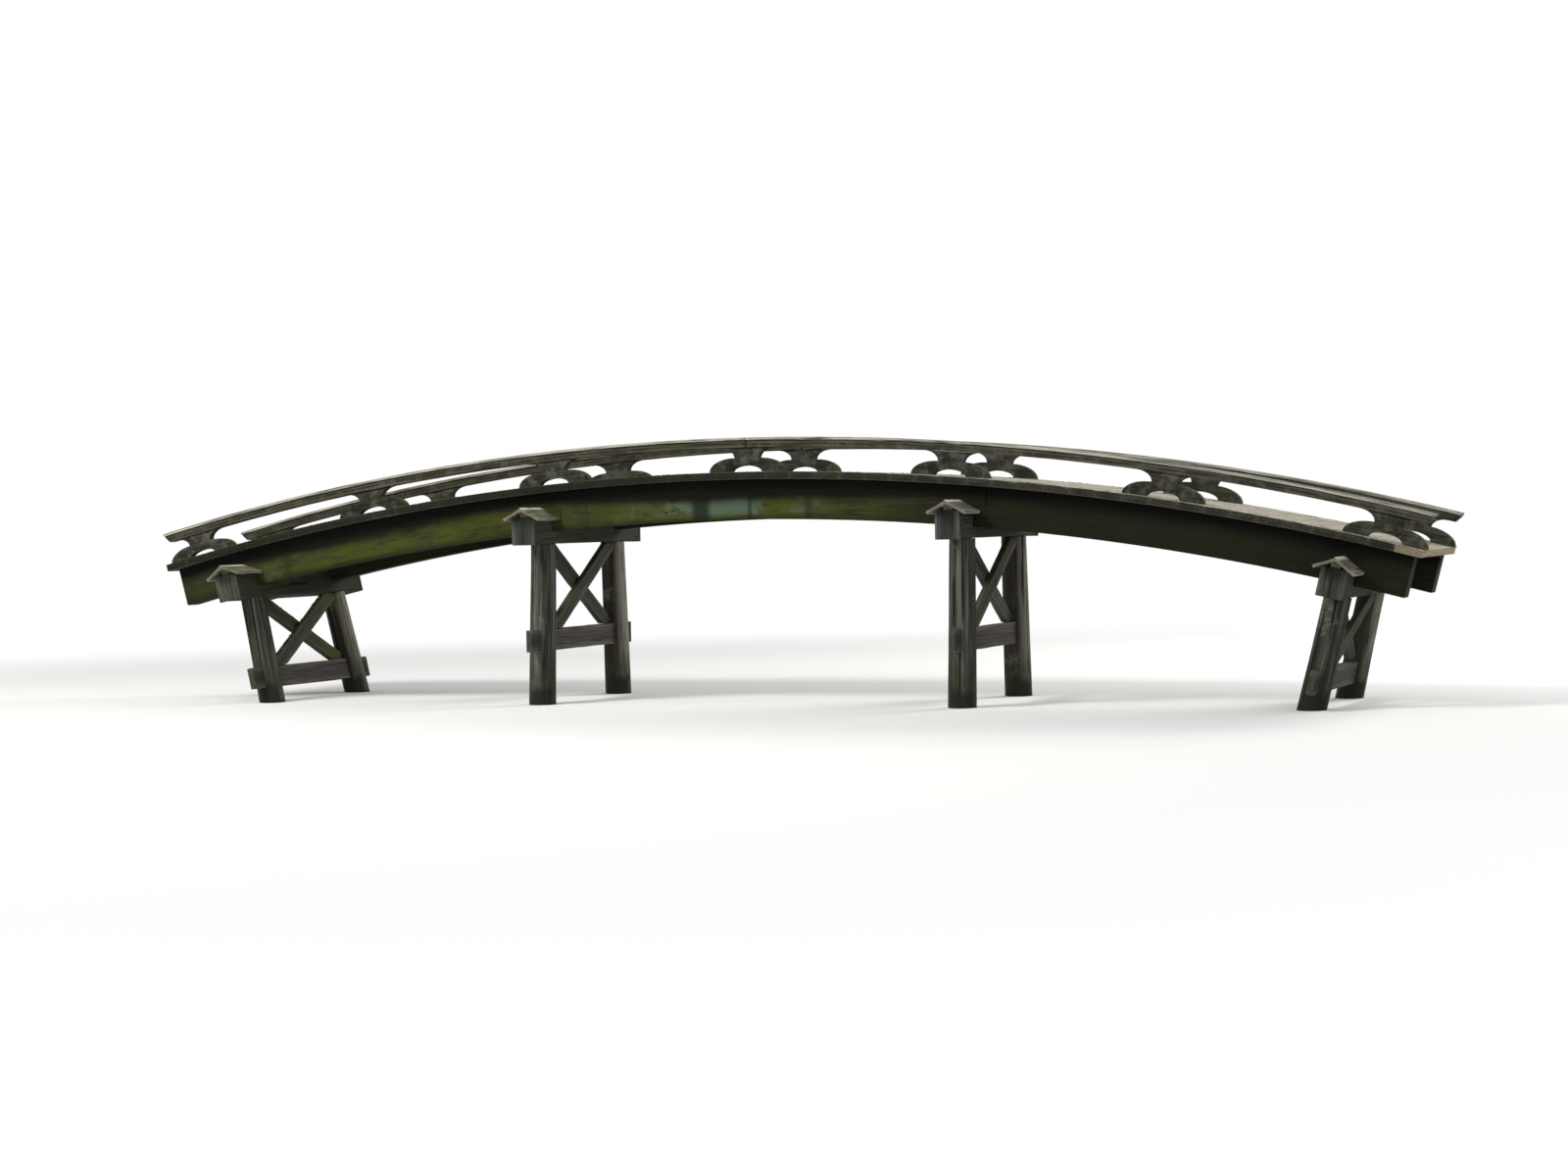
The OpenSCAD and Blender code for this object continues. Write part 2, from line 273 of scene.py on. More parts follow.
def arch_frame(angle, radius, y=0.0):
    """Place on the arch: x along it, z out from its centre."""
    return at(0, y, ARCH_CENTRE) @ turned(angle) @ at(0, 0, radius)


print("deck end angle", round(math.degrees(DECK_END), 2), "degrees")

# %% [markdown]
# Four bents carry the arch. The two middle ones stand upright. The two at the ends lean
# outwards at the top, square to the arch, so that their head beams meet it squarely.

# %% Bent values
MIDDLE_BENT = 2.085
BENTS = {"left_bank": -5.3, "left_mid": -MIDDLE_BENT, "right_mid": MIDDLE_BENT, "right_bank": 5.48}


def leans(x):
    return abs(x) > MIDDLE_BENT


def bent_frame(x):
    """Place of a bent: z = 0 is the underside of the girders."""
    lean = math.asin(x / GIRDER_BOTTOM) if leans(x) else 0.0
    z = ARCH_CENTRE + math.sqrt(GIRDER_BOTTOM ** 2 - x ** 2)
    return at(x, 0, z) @ turned(lean)


def upward_of(place):
    return place.to_3x3() @ Vector((0, 0, 1))


def below_girders(x, z):
    """Where a height above the feet lies on a bent's own axis."""
    place = bent_frame(x)
    return (z - place.translation.z) / place.to_3x3()[2][2]


# %% [markdown]
# ## Sticks of timber
# Almost everything here is a stick: a section with rounded corners carried along a path.
# A modifier could bevel a box, but a swept section also knows where its grain runs. The
# section comes first, with arcs of three steps at its corners.

# %% Section of a stick
def rounded_section(width, depth, corner, step):
    """Points round a rectangle with rounded corners, and how near an edge each one is."""
    arcs = []
    for quarter, (sx, sz) in enumerate(((1, 1), (-1, 1), (-1, -1), (1, -1))):
        centre = np.array((sx * (width / 2 - corner), sz * (depth / 2 - corner)))
        turns = np.radians(90 * quarter + np.array((0, 30, 60, 90)))
        arcs.append(centre + corner * np.c_[np.cos(turns), np.sin(turns)])
    points, near = [], []
    for arc, following in zip(arcs, arcs[1:] + arcs[:1]):
        side = following[0] - arc[-1]
        count = max(1, round(float(np.linalg.norm(side)) / step))
        between = [arc[-1] + side * part / count for part in range(1, count)]
        points += [*arc, *between]
        near += [1.0] * len(arc) + [0.0] * len(between)
    return np.array(points), np.array(near)


# %% [markdown]
# Every point also carries values that the finishes read: the grain's own coordinates, a
# tone for the stick, how near an edge it is, and what is end grain. A stick and a log
# are both closed tubes made of rings of such points.

# %% Closed tube with values
WEAR_SCALE = 7.0
TONE_STEP = 0.6180339


def wear_at(points, seed, depth):
    """How far each point is worn away, from a soft noise; never outwards."""
    shift = Vector((seed * 3.1, seed * 5.7, seed * 2.3))
    return np.array([depth * (0.5 + 0.5 * noise.noise(Vector(p) * WEAR_SCALE + shift)) for p in points])


def write_values(mesh, **values):
    """Stores one number, or one row of three, for every point under each name."""
    for name, rows in values.items():
        rows = np.asarray(rows, np.float32)
        kind, key = ("FLOAT_VECTOR", "vector") if rows.ndim == 2 else ("FLOAT", "value")
        mesh.attributes.new(name, kind, "POINT").data.foreach_set(key, rows.ravel())


def own_tone(seed):
    """A tone from 0 to 1 that differs for every stick."""
    return (seed * TONE_STEP) % 1.0


def tube(name, points, rings, **values):
    """A closed tube from its rings of points: bands of faces, and one face at each end."""
    count = len(points) // rings
    faces = [tuple(range(count))]
    for low in range(0, (rings - 1) * count, count):
        high = low + count
        faces += [(low + i, high + i, high + (i + 1) % count, low + (i + 1) % count) for i in range(count)]
    faces.append(tuple((rings - 1) * count + i for i in reversed(range(count))))
    mesh = bpy.data.meshes.new(name)
    mesh.from_pydata([tuple(p) for p in points], [], faces)
    write_values(mesh, **values)
    mesh.shade_smooth()
    return new_object(name, mesh)


# %% [markdown]
# The sweep sets the section at every place of the path, with two smaller rings at each
# end so that the ends are rounded too. Then it wears the surface down unevenly, most of
# all at the edges.

# %% Sweep a stick
def sweep(name, path, width, depth, corner, step=0.05, wear=0.0025, seed=1):
    """A stick along a path of places, whose y axes point along it."""
    section, near = rounded_section(width, depth, corner, step)
    inner = section * (1 - 2 * corner / width, 1 - 2 * corner / depth)
    rim = 0.4 * inner + 0.6 * section
    last = len(path) - 1
    rings = [(0, inner, 0.0, 1.0), (0, rim, corner / 3, 0.0), (0, section, corner, 0.0)]
    rings += [(index, section, 0.0, 0.0) for index in range(1, last)]
    rings += [(last, section, -corner, 0.0), (last, rim, -corner / 3, 0.0), (last, inner, 0.0, 1.0)]
    places = np.array([np.array(place) for place in path])
    gone = np.linalg.norm(np.diff(places[:, :3, 3], axis=0), axis=1)
    lengths = np.concatenate(([0.0], np.cumsum(gone)))
    points, grain, edge, end = [], [], [], []
    for index, shape, inset, is_end in rings:
        ones = np.ones(len(shape))
        ring = (places[index] @ np.c_[shape[:, 0], inset * ones, shape[:, 1], ones].T).T[:, :3]
        out = ring - places[index][:3, 3]
        out /= np.linalg.norm(out, axis=1)[:, None]
        points.append(ring - out * (wear_at(ring, seed, wear) * (1 + near))[:, None])
        grain.append(np.c_[(lengths[index] + inset) * ones, shape])
        edge.append(near * (1 - 0.4 * is_end))
        end.append(is_end * ones)
    points = np.vstack(points)
    return tube(name, points, len(rings), grain=np.vstack(grain), edge=np.concatenate(edge),
                end=np.concatenate(end), tone=np.full(len(points), own_tone(seed)))


def straight(place, length, spacing=0.06):
    """Path of a straight stick, centred on a place and running along its y axis."""
    count = max(2, round(length / spacing))
    return [place @ at(0, length * (i / count - 0.5)) for i in range(count + 1)]


# %% [markdown]
# A stick is often cut at a slant, and several sticks can make one piece. Each finished
# piece takes its material, and the frame's node that it stands for is hidden.

# %% Join, cut and fit
def discard(one):
    mesh = one.data
    bpy.data.objects.remove(one)
    bpy.data.meshes.remove(mesh)


def join(name, parts):
    joined = bmesh.new()
    for part in parts:
        joined.from_mesh(part.data)
        discard(part)
    return object_of(name, joined)


def clip(piece, place, normal):
    """Cuts away what lies beyond a plane and closes the cut."""
    cutting = bmesh.new()
    cutting.from_mesh(piece.data)
    whole = cutting.verts[:] + cutting.edges[:] + cutting.faces[:]
    cut = bmesh.ops.bisect_plane(cutting, geom=whole, plane_co=place, plane_no=normal,
                                 clear_outer=True, dist=1e-6)
    edges = [part for part in cut["geom_cut"] if isinstance(part, bmesh.types.BMEdge)]
    bmesh.ops.holes_fill(cutting, edges=edges)
    cutting.to_mesh(piece.data)
    cutting.free()


def fit(piece, material, slot=None, *nodes):
    """Gives a finished piece its material and hides the frame's nodes it stands for; the slot is not used."""
    piece.data.materials.clear()
    piece.data.materials.append(material)
    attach(piece, "root")
    if nodes:
        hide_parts(*nodes)


# %% [markdown]
# ## Finishes
# The timber has stood outdoors for years: silver grey where sun and rain reach it,
# nearly black in its cracks and under its ledges, partly dirt and partly painted shade,
# and green where it stays damp. A finish is built up as the weather did it, layer over
# layer: bare grain first, then stains, green and moss, with painted light and shade among
# them. Noise drawn out along the grain makes the fibres.

# %% Layers of a finish
class Finish(Tree):
    """A timber finish, built up in layers."""

    def __init__(self, name, dark, mid, pale, fibre=70.0):
        self.material = bpy.data.materials.new(name)
        super().__init__(emptied(self.material))
        self.fibre, self.mid = fibre, mid
        self.fine = self.drawn(fibre, 2.2, 6.0, 0.0)
        self.colour = self.shades(self.fine, (0.30, dark), (0.72, pale), (0.5, mid))
        self.rough = self.between(self.fine, 0.2, 0.8, 0.78, 0.95)
        self.relief = self.fine
        self.lay(mid, 0.5, self.between(self.drawn(fibre / 7, 0.8, 3.0, 4.0), 0.42, 0.68))
        self.lay(self.shade(0.45), 0.42, self.value("tone"))

    def stored(self, name):
        return self.add("Attribute", attribute_name=name).outputs

    def value(self, name):
        """A number stored on the points of the piece."""
        return self.stored(name)["Fac"]

    def grain(self):
        """The stick's own coordinates: along it, then twice across it."""
        return self.stored("grain")["Vector"]

    def place(self, axis):
        return self.part(self.spot(), axis)

    def off_middle(self):
        """Distance from the middle of the bridge's width."""
        return self.calc("ABSOLUTE", self.place(1))

    def shade(self, factor):
        return [factor * c for c in self.mid]

    def fibres(self, low, high):
        return self.between(self.fine, low, high)

    def noise_in(self, vector, scale, detail, offset):
        mapped = self.add("Mapping", vector, Scale=scale, Location=(offset,) * 3)
        return self.cloud(mapped, 1.0, detail, Roughness=0.6)

    def moved(self, vector, amount):
        """Coordinates that are shifted differently on every stick."""
        return self.vector("ADD", vector, self.calc("MULTIPLY", self.value("tone"), amount))

    def drawn(self, across, along, detail, offset):
        """A noise drawn out along the grain, different on every stick."""
        return self.noise_in(self.moved(self.grain(), 31.0), (along, across, across), detail, offset)

    def patch(self, scale, low, high, offset=0.0):
        """A mask of soft patches over the whole bridge."""
        return self.between(self.noise_in(self.spot(), scale, 4.0, offset), low, high)

    def facing(self, axis, low, high):
        """A mask of the faces that look along one axis."""
        normal = self.add("NewGeometry").outputs["Normal"]
        return self.between(self.part(normal, axis), low, high)

    def facing_up(self, low=0.2, high=0.8):
        return self.facing(2, low, high)

    def lay(self, colour, amount, *masks):
        """Lays a colour on, as thick as the amount and all the masks let it."""
        for mask in masks:
            amount = self.calc("MULTIPLY", amount, mask)
        mixed = self.add("Mix", amount, data_type="RGBA", _6=self.colour, _7=light(colour))
        self.colour = mixed.outputs[2]
        return amount

    def finished(self, bump=0.55):
        """Closes the finish and gives its material."""
        self.paint(self.colour, self.relief, bump, 0.004, Roughness=self.rough, Specular_IOR_Level=0.1)
        print("finish", self.material.name, len(self.tree.nodes), "nodes")
        return self.material


# %% [markdown]
# The next layers are shared by most finishes. Drying opens fine dark cracks along the
# grain; knots are dark eyes here and there; edges bleach, and on the rail caps the same
# layer also paints a sunlit highlight; sawn ends show the year rings and drink the dirt.

# %% Grain layers
YEAR_RINGS = 34.0


def cracks(wood, amount=0.85):
    lines = wood.between(wood.drawn(wood.fibre / 2.6, 1.1, 4.0, 9.0), 0.40, 0.33)
    wood.lay(wood.shade(0.12), amount, lines)
    wood.relief = wood.calc("MULTIPLY_ADD", lines, -1.2, wood.relief)


def knots(wood, amount=0.8):
    mapped = wood.add("Mapping", wood.grain(), Scale=(2.2, 8.0, 8.0))
    cells = wood.add("TexVoronoi", wood.moved(mapped, 17.0), Scale=1.0).outputs
    chosen = wood.between(wood.part(cells["Color"], 0), 0.55, 0.6)
    wood.lay(wood.shade(0.25), amount, wood.between(cells["Distance"], 0.17, 0.09), chosen)


def bleached_and_highlit_edges(wood, colour, amount, *masks):
    wood.lay(colour, amount, wood.value("edge"), wood.fibres(0.35, 0.6), *masks)


def sawn_ends(wood, colour, *masks):
    moved = wood.vector("MULTIPLY_ADD", wood.grain(), (0, 1, 1), (0, 0.03, 0.05))
    rings = wood.add("TexWave", moved, YEAR_RINGS, 1.5, 2.0, wave_type="RINGS",
                     rings_direction="X").outputs["Fac"]
    end = wood.value("end")
    wood.lay(colour, 0.9, end, *masks)
    wood.lay([0.4 * c for c in colour], 0.7, end, wood.between(rings, 0.45, 0.8))


# %% [markdown]
# Then comes what grows and what runs down: algae in broad patches, moss on faces that
# look up, black upright streaks, and pale lichen. Blotches break up an even colour.

# %% Weather layers
MOSS_GREEN = (62, 85, 16)


def algae(wood, colour, low, high, *masks, amount=0.9):
    growth = wood.between(wood.drawn(wood.fibre / 3, 3.0, 3.0, 15.0), 0.28, 0.55)
    wood.lay(colour, amount, wood.patch((0.9, 1.3, 2.2), low, high), growth, *masks)


def moss(wood, amount, low=0.5, high=0.62, *masks):
    patches = wood.patch((5.0, 5.0, 5.0), low, high, 2.0)
    covered = wood.lay(MOSS_GREEN, amount, wood.facing_up(), patches, *masks)
    wood.relief = wood.calc("MULTIPLY_ADD", covered, 1.5, wood.relief)


def drips(wood, amount):
    wood.lay(wood.shade(0.2), amount, wood.patch((7.0, 7.0, 0.9), 0.52, 0.66, 21.0))


def mottled(wood, colour, amount, scale, offset):
    """Blotches of one size over the whole piece."""
    wood.lay(colour, amount, wood.patch((scale, scale, scale), 0.48, 0.62, offset))


def lichen(wood, colour, amount, *masks):
    wood.lay(colour, amount, wood.patch((3.0, 3.0, 4.5), 0.56, 0.64, 33.0),
             wood.patch((22.0, 22.0, 22.0), 0.40, 0.55, 5.0), *masks)


# %% [markdown]
# ## Girder finish
# The girders' faces are the most colourful part. Under the deck's edge they are black,
# partly dirt and partly painted shade of the deck's overhang, below it olive green with
# algae, and by mid-span a pale blue-green lichen has settled between old stains. Towards
# the right there is less algae and the wood is painted nearly black as painted shade, and
# along the bottom edge a dark band is painted shade of the underside.

# %% Girder finish
STAINS = ((-0.45, 0.13, 0.85), (0.04, 0.03, 0.6), (0.62, 0.05, 0.5))

wood = Finish("girder_timber", (6, 6, 3), (22, 21, 10), (60, 57, 30), fibre=60.0)
x = wood.place(0)
outside = wood.between(wood.off_middle(), 0.70, 0.78)
depth = wood.part(wood.grain(), 2)
ragged = wood.calc("MULTIPLY_ADD", wood.patch((1.2, 1.2, 0.4), 0.25, 0.75, 40.0), 0.04, depth)
greener = wood.between(x, 0.0, 2.4, 1.0, 0.12)
cracks(wood)
knots(wood)
sawn_ends(wood, (30, 28, 20))
algae(wood, (50, 60, 8), 0.26, 0.52, greener, outside)
algae(wood, (30, 40, 12), 0.46, 0.62, greener, outside, amount=0.7)
wood.lay((18, 19, 8), 0.55, wood.patch((4.5, 4.5, 0.5), 0.48, 0.72, 21.0))
bloom = (outside, wood.between(x, -1.3, -0.7), wood.between(x, 0.9, 0.2),
         wood.between(ragged, -0.12, -0.04))
wood.lay((72, 104, 74), 0.8, wood.patch((2.2, 2.2, 3.0), 0.43, 0.56, 3.0), *bloom)
lichen(wood, (130, 170, 120), 0.6, *bloom)
lichen(wood, (55, 72, 36), 0.45, greener, outside)
for middle, half, amount in STAINS:
    wood.lay((7, 8, 5), amount, *(wood.between(x, middle + hand * half, middle + hand * half / 3)
                                  for hand in (-1, 1)))
# Painted shade: the right part of the girders is painted nearly black.
wood.lay((7, 7, 4), 0.75, wood.between(x, 0.8, 2.6))
wood.lay((14, 14, 7), 0.6, wood.between(x, -5.15, -5.45))
# Painted shade of the deck's overhang, partly dirt: black bands along the girders' tops.
wood.lay((8, 8, 4), 0.7, wood.between(ragged, 0.0, 0.13))
wood.lay((3, 3, 2), 0.97, wood.between(ragged, 0.055, 0.14))
# Painted shade of the underside: a dark band along the girders' bottom edge.
wood.lay((9, 10, 5), 0.7, wood.between(ragged, -0.08, -0.18))
girder_finish = wood.finished()

# %% [markdown]
# ## Deck finish
# Use keeps the middle of the deck bare and pale. Its edges stay damp, with moss, and on
# the left half they are dark, partly damp and partly painted shade. On the right the tops
# are painted much paler as painted sunlight, with a painted highlight along the edge. The
# sawn ends of the planks are nearly black, but for the last plank at the right, which is
# newer.

# %% Deck finish
wood = Finish("deck_planks", (40, 37, 29), (135, 125, 100), (290, 270, 225))
across = wood.off_middle()
x = wood.place(0)
top = wood.facing_up(0.5, 0.8)
newer = wood.between(x, 5.945, 5.965)
wood.lay((360, 335, 280), 0.6, top, wood.fibres(0.35, 0.65))
# Painted sunlight: the plank tops on the right are much paler.
wood.lay((500, 460, 375), 0.85, top, wood.fibres(0.25, 0.48), wood.between(x, 0.4, 2.2))
wood.lay((360, 300, 200), 0.7, newer)
wood.lay((170, 130, 80), 0.7, newer, wood.fibres(0.55, 0.35))
cracks(wood)
knots(wood)
# Painted shade, partly damp: the deck's edges on the left half are darker.
wood.lay((30, 30, 20), 0.8, wood.between(across, 0.55, 0.85), wood.between(x, 1.6, -0.8),
         wood.patch((1.2, 6.0, 6.0), 0.2, 0.5, 11.0))
algae(wood, (55, 66, 20), 0.54, 0.74)
sawn_ends(wood, (13, 13, 9), wood.between(newer, 1.0, 0.0))
bleached_and_highlit_edges(wood, (160, 150, 120), 0.3, wood.between(x, -2.0, 3.0))
# Painted highlight along the front edge of the planks on the right.
wood.lay((480, 450, 370), 0.9, wood.value("edge"), wood.facing_up(0.25, 0.55), wood.between(x, 0.4, 1.4))
moss(wood, 0.7, 0.48, 0.62, wood.between(across, 0.42, 0.66))
deck_finish = wood.finished()

# %% [markdown]
# ## Balustrade finishes
# Blocks and rails are dark grey-brown, with moss on the blocks' ledges. The thin cap
# board on each rail takes all the sun and rain and has bleached nearly silver on top; its
# pale top and edges are also a painted sunlit highlight.

# %% Balustrade finishes
wood = Finish("carved_blocks", (10, 10, 7), (36, 36, 26), (90, 89, 68))
cracks(wood)
mottled(wood, (16, 16, 11), 0.65, 3.5, 12.0)
mottled(wood, (115, 118, 90), 0.45, 11.0, 27.0)
drips(wood, 0.5)
sawn_ends(wood, (30, 29, 21))
bleached_and_highlit_edges(wood, (130, 130, 100), 0.7)
algae(wood, (40, 50, 16), 0.54, 0.74, amount=0.7)
moss(wood, 0.85, 0.44, 0.58)
block_finish = wood.finished()

wood = Finish("rails", (9, 8, 6), (30, 28, 19), (78, 73, 53), fibre=75.0)
cracks(wood)
knots(wood)
mottled(wood, (17, 16, 11), 0.6, 2.5, 12.0)
mottled(wood, (95, 90, 66), 0.4, 9.0, 27.0)
sawn_ends(wood, (50, 45, 32))
bleached_and_highlit_edges(wood, (130, 120, 90), 0.6)
algae(wood, (48, 56, 18), 0.52, 0.72)
rail_finish = wood.finished()

wood = Finish("rail_caps", (40, 37, 30), (125, 118, 95), (250, 240, 200), fibre=75.0)
cracks(wood)
# Partly bleaching and partly painted sunlight: the cap board's top is paler.
wood.lay((450, 435, 370), 0.7, wood.facing_up(), wood.fibres(0.35, 0.65))
sawn_ends(wood, (120, 105, 80))
# Partly bleaching and partly painted highlight: the cap board's edges are paler still.
bleached_and_highlit_edges(wood, (500, 480, 410), 0.8)
algae(wood, (75, 85, 32), 0.56, 0.76)
moss(wood, 0.35)
cap_finish = wood.finished()

# %% [markdown]
# ## Leg finish
# The legs are peeled logs, grey and deeply split. A crack is shape as well as colour:
# the logs carry its depth on their points, and the finish blackens it as painted shade.
# Their feet are soaked, which makes wood both darker and shinier. The back legs are
# browner, and their right sides are painted pale as painted sunlight.

# %% Leg finish
WET_TOP = 0.20

wood = Finish("round_legs", (12, 12, 9), (42, 44, 34), (108, 110, 88), fibre=55.0)
cracks(wood)
knots(wood, 0.7)
wood.lay((18, 18, 13), 0.75, wood.between(wood.drawn(16.0, 0.7, 3.0, 31.0), 0.50, 0.36))
wood.lay((150, 153, 126), 0.55, wood.between(wood.drawn(20.0, 0.6, 4.0, 27.0), 0.50, 0.64))
behind = wood.between(wood.place(1), 0.2, 0.5)
wood.lay((30, 21, 15), 0.5, behind)
# Painted sunlight: the right sides of the back legs are paler.
wood.lay((270, 260, 210), 0.7, behind, wood.facing(0, 0.35, 0.85), wood.fibres(0.32, 0.52))
algae(wood, (36, 45, 20), 0.56, 0.76, amount=0.45)
lichen(wood, (150, 165, 120), 0.4)
# Painted shade: each crack is blackened as deep as it is cut.
wood.lay((6, 6, 5), 1.0, wood.between(wood.value("crack"), 0.1, 0.5))
height = wood.calc("MULTIPLY_ADD", wood.patch((9.0, 9.0, 1.0), 0.3, 0.7, 7.0), -0.08, wood.place(2))
wood.lay((24, 29, 14), 0.6, wood.between(height, WET_TOP + 0.25, WET_TOP))
soaked = wood.lay((9, 10, 6), 0.9, wood.between(height, WET_TOP - 0.02, WET_TOP - 0.12))
wood.rough = wood.calc("MULTIPLY_ADD", soaked, -0.5, wood.rough)
leg_finish = wood.finished(0.7)

# %% [markdown]
# ## Finishes of the smaller timbers
# Beams are dark, ties are a warm mauve grey and painted darker towards their ends as
# painted shade, and the braces at the left end are green with moss.

# %% Beam, tie and brace finishes
wood = Finish("head_beams", (12, 12, 9), (38, 36, 27), (85, 80, 62))
cracks(wood)
knots(wood)
sawn_ends(wood, (50, 45, 35))
algae(wood, (40, 50, 18), 0.50, 0.70)
beam_finish = wood.finished()

wood = Finish("ties", (15, 13, 13), (53, 47, 44), (120, 108, 102))
cracks(wood)
knots(wood)
# Painted shade: the ties are darker towards their ends.
wood.lay((22, 23, 16), 0.7, wood.between(wood.off_middle(), 0.5, 0.95))
sawn_ends(wood, (42, 42, 30))
bleached_and_highlit_edges(wood, (160, 150, 140), 0.5)
algae(wood, (40, 50, 20), 0.58, 0.76)
tie_finish = wood.finished()


def brace_timber(name, moss_amount, dry):
    wood = Finish(name, (13, 12, 9), (46, 43, 34), (110, 104, 84))
    cracks(wood)
    knots(wood)
    bleached_and_highlit_edges(wood, (120, 115, 90), 0.5)
    algae(wood, (48, 60, 14), dry, dry + 0.2)
    moss(wood, moss_amount, 0.36, 0.5)
    return wood.finished()


brace_finish = brace_timber("braces", 0.3, 0.54)
mossy_brace_finish = brace_timber("mossy_braces", 0.95, 0.40)

# %% [markdown]
# The end boards are a cool grey, painted black at the top as painted shade under the
# rain caps. The rain caps are the youngest and palest wood. A painted white highlight
# lies at the ridge where one board laps over the other, and the top of the left board
# is painted a darker blue-grey as painted shade.

# %% End board and rain cap finishes
# The white of the painted highlight at the rain caps' ridge.
PAINTED_RIDGE_HIGHLIGHT = (780, 770, 620)

wood = Finish("end_boards", (11, 13, 11), (38, 42, 37), (100, 107, 97))
cracks(wood)
drips(wood, 0.6)
from_centre = wood.vector("MULTIPLY_ADD", wood.spot(), (1, 0, 1), (0, 0, -ARCH_CENTRE))
radius = wood.vector("LENGTH", from_centre).outputs["Value"]
# Painted shade under the rain caps: the top of each end board is black.
wood.lay((8, 9, 7), 0.85, wood.between(radius, GIRDER_BOTTOM, GIRDER_BOTTOM + 0.10))
sawn_ends(wood, (35, 36, 30))
bleached_and_highlit_edges(wood, (170, 180, 165), 0.5)
algae(wood, (45, 56, 26), 0.54, 0.74)
board_finish = wood.finished()

wood = Finish("rain_caps", (30, 27, 20), (110, 102, 78), (250, 235, 185))
cracks(wood)
knots(wood)
wood.lay((330, 315, 245), 0.6, wood.facing_up(), wood.fibres(0.4, 0.7))
# Painted shade: the top of the left roof board is a darker blue-grey.
wood.lay((85, 94, 84), 0.75, wood.facing(0, -0.05, -0.2), wood.facing_up(0.6, 0.8))
sawn_ends(wood, (150, 140, 105))
bleached_and_highlit_edges(wood, (360, 345, 270), 0.6)
ridge = wood.between(wood.part(wood.grain(), 1), -0.05, -0.11)
# Painted highlight at the ridge: the right board's top near it, and its lapped edge.
wood.lay(PAINTED_RIDGE_HIGHLIGHT, 0.9, ridge, wood.facing(0, 0.05, 0.2), wood.facing_up(0.5, 0.7))
wood.lay(PAINTED_RIDGE_HIGHLIGHT, 0.9, wood.facing(0, -0.6, -0.75), wood.facing_up(0.1, 0.25))
algae(wood, (70, 78, 30), 0.52, 0.72)
moss(wood, 0.4)
rain_finish = wood.finished()

# %% [markdown]
# ## Legs
# Each leg is a peeled log, a little thicker at the foot. A log is rings of points about
# its axis, pushed out and in by a slow noise and cut deep wherever a drying crack runs.

# %% A cracked log
HEAD_DEPTH, HEAD_WIDTH, HEAD_LENGTH, HEAD_TOP = 0.25, 0.22, 2.36, 0.14
HEAD_BOTTOM = HEAD_TOP - HEAD_DEPTH
LEG_SPREAD, LEG_SPLAY = 1.56, math.radians(3)
LEG_RADIUS, LEG_TAPER = 0.123, 0.008
RING_STEP, LOG_POINTS, SKIN = 0.03, 120, 0.005
LOG_CRACKS, CRACK_WIDTH, FULL_CRACK = 9, 0.045, 0.008


def log_cracks(length, seed):
    """Cracks as rows of: angle, middle, half length, depth, drift round the log."""
    low = (0.0, 0.0, 0.25, 0.005, -0.15)
    high = (2 * math.pi, length, 0.9, 0.013, 0.15)
    return np.random.default_rng(seed).uniform(low, high, (LOG_CRACKS, 5))


def log(name, top, foot, seed):
    """A cracked log from top to foot, in the bridge's own space."""
    length = (foot - top).length
    turn = np.array((foot - top).to_track_quat("Y", "Z").to_matrix())
    rings = int(length / RING_STEP) + 2
    angle = np.linspace(0, 2 * math.pi, LOG_POINTS, endpoint=False)
    rim = np.c_[np.cos(angle), np.sin(angle)]
    splits = log_cracks(length, seed)
    points, grain, crack = [], [], []
    for along in np.linspace(0, length, rings):
        bulge = np.array([noise.noise(Vector((*(0.9 * spot), 1.3 * along + seed))) for spot in rim])
        split = np.zeros(LOG_POINTS)
        for start, middle, reach, deep, drift in splits:
            fade = max(0.0, 1 - ((along - middle) / reach) ** 2)
            gap = np.angle(np.exp(1j * (angle - start - drift * along)))
            split += deep * fade * np.exp(-(gap / CRACK_WIDTH) ** 2)
        across = rim * (LEG_RADIUS + LEG_TAPER * along - SKIN * (1 - bulge) - split)[:, None]
        row = np.full(LOG_POINTS, along)
        points.append(np.array(top) + np.c_[across[:, 0], row, across[:, 1]] @ turn.T)
        grain.append(np.c_[row, across])
        crack.append(split / FULL_CRACK)
    blank = np.zeros(rings * LOG_POINTS)
    return tube(name, np.vstack(points), rings, grain=np.vstack(grain), crack=np.concatenate(crack),
                tone=blank + own_tone(seed), edge=blank, end=blank)


# %% [markdown]
# The eight logs splay outwards by three degrees. Each is made a little too long, then
# cut square under the head beam and level at the foot.

# %% Make the legs
SPARE = 0.02

seed = 3
for bent, bent_x in BENTS.items():
    place = bent_frame(bent_x)
    up = upward_of(place)
    for side, sy in SIDES.items():
        top = place @ Vector((0, sy * LEG_SPREAD / 2, HEAD_BOTTOM))
        down = place.to_3x3() @ Vector((0, sy * math.sin(LEG_SPLAY), -math.cos(LEG_SPLAY)))
        reach = top.z / -down.z + 3 * SPARE
        leg = log(f"round_leg_{bent}_{side}", top - down * SPARE, top + down * reach, seed)
        clip(leg, top, up)
        clip(leg, (0, 0, 0), (0, 0, -1))
        fit(leg, leg_finish, "leg_wood", f"leg_{bent}_{side}")
        seed += 1
print("legs", 2 * len(BENTS))

# %% [markdown]
# ## Bents
# A head beam lies across each pair of legs. Low down a tie runs through the legs. Both
# are straight sticks with softened edges.

# %% Head beams and ties
TIE_DEPTH, TIE_WIDTH, TIE_LENGTH = 0.21, 0.07, 2.24
TIE_HEIGHT = {False: 0.605, True: 0.245}

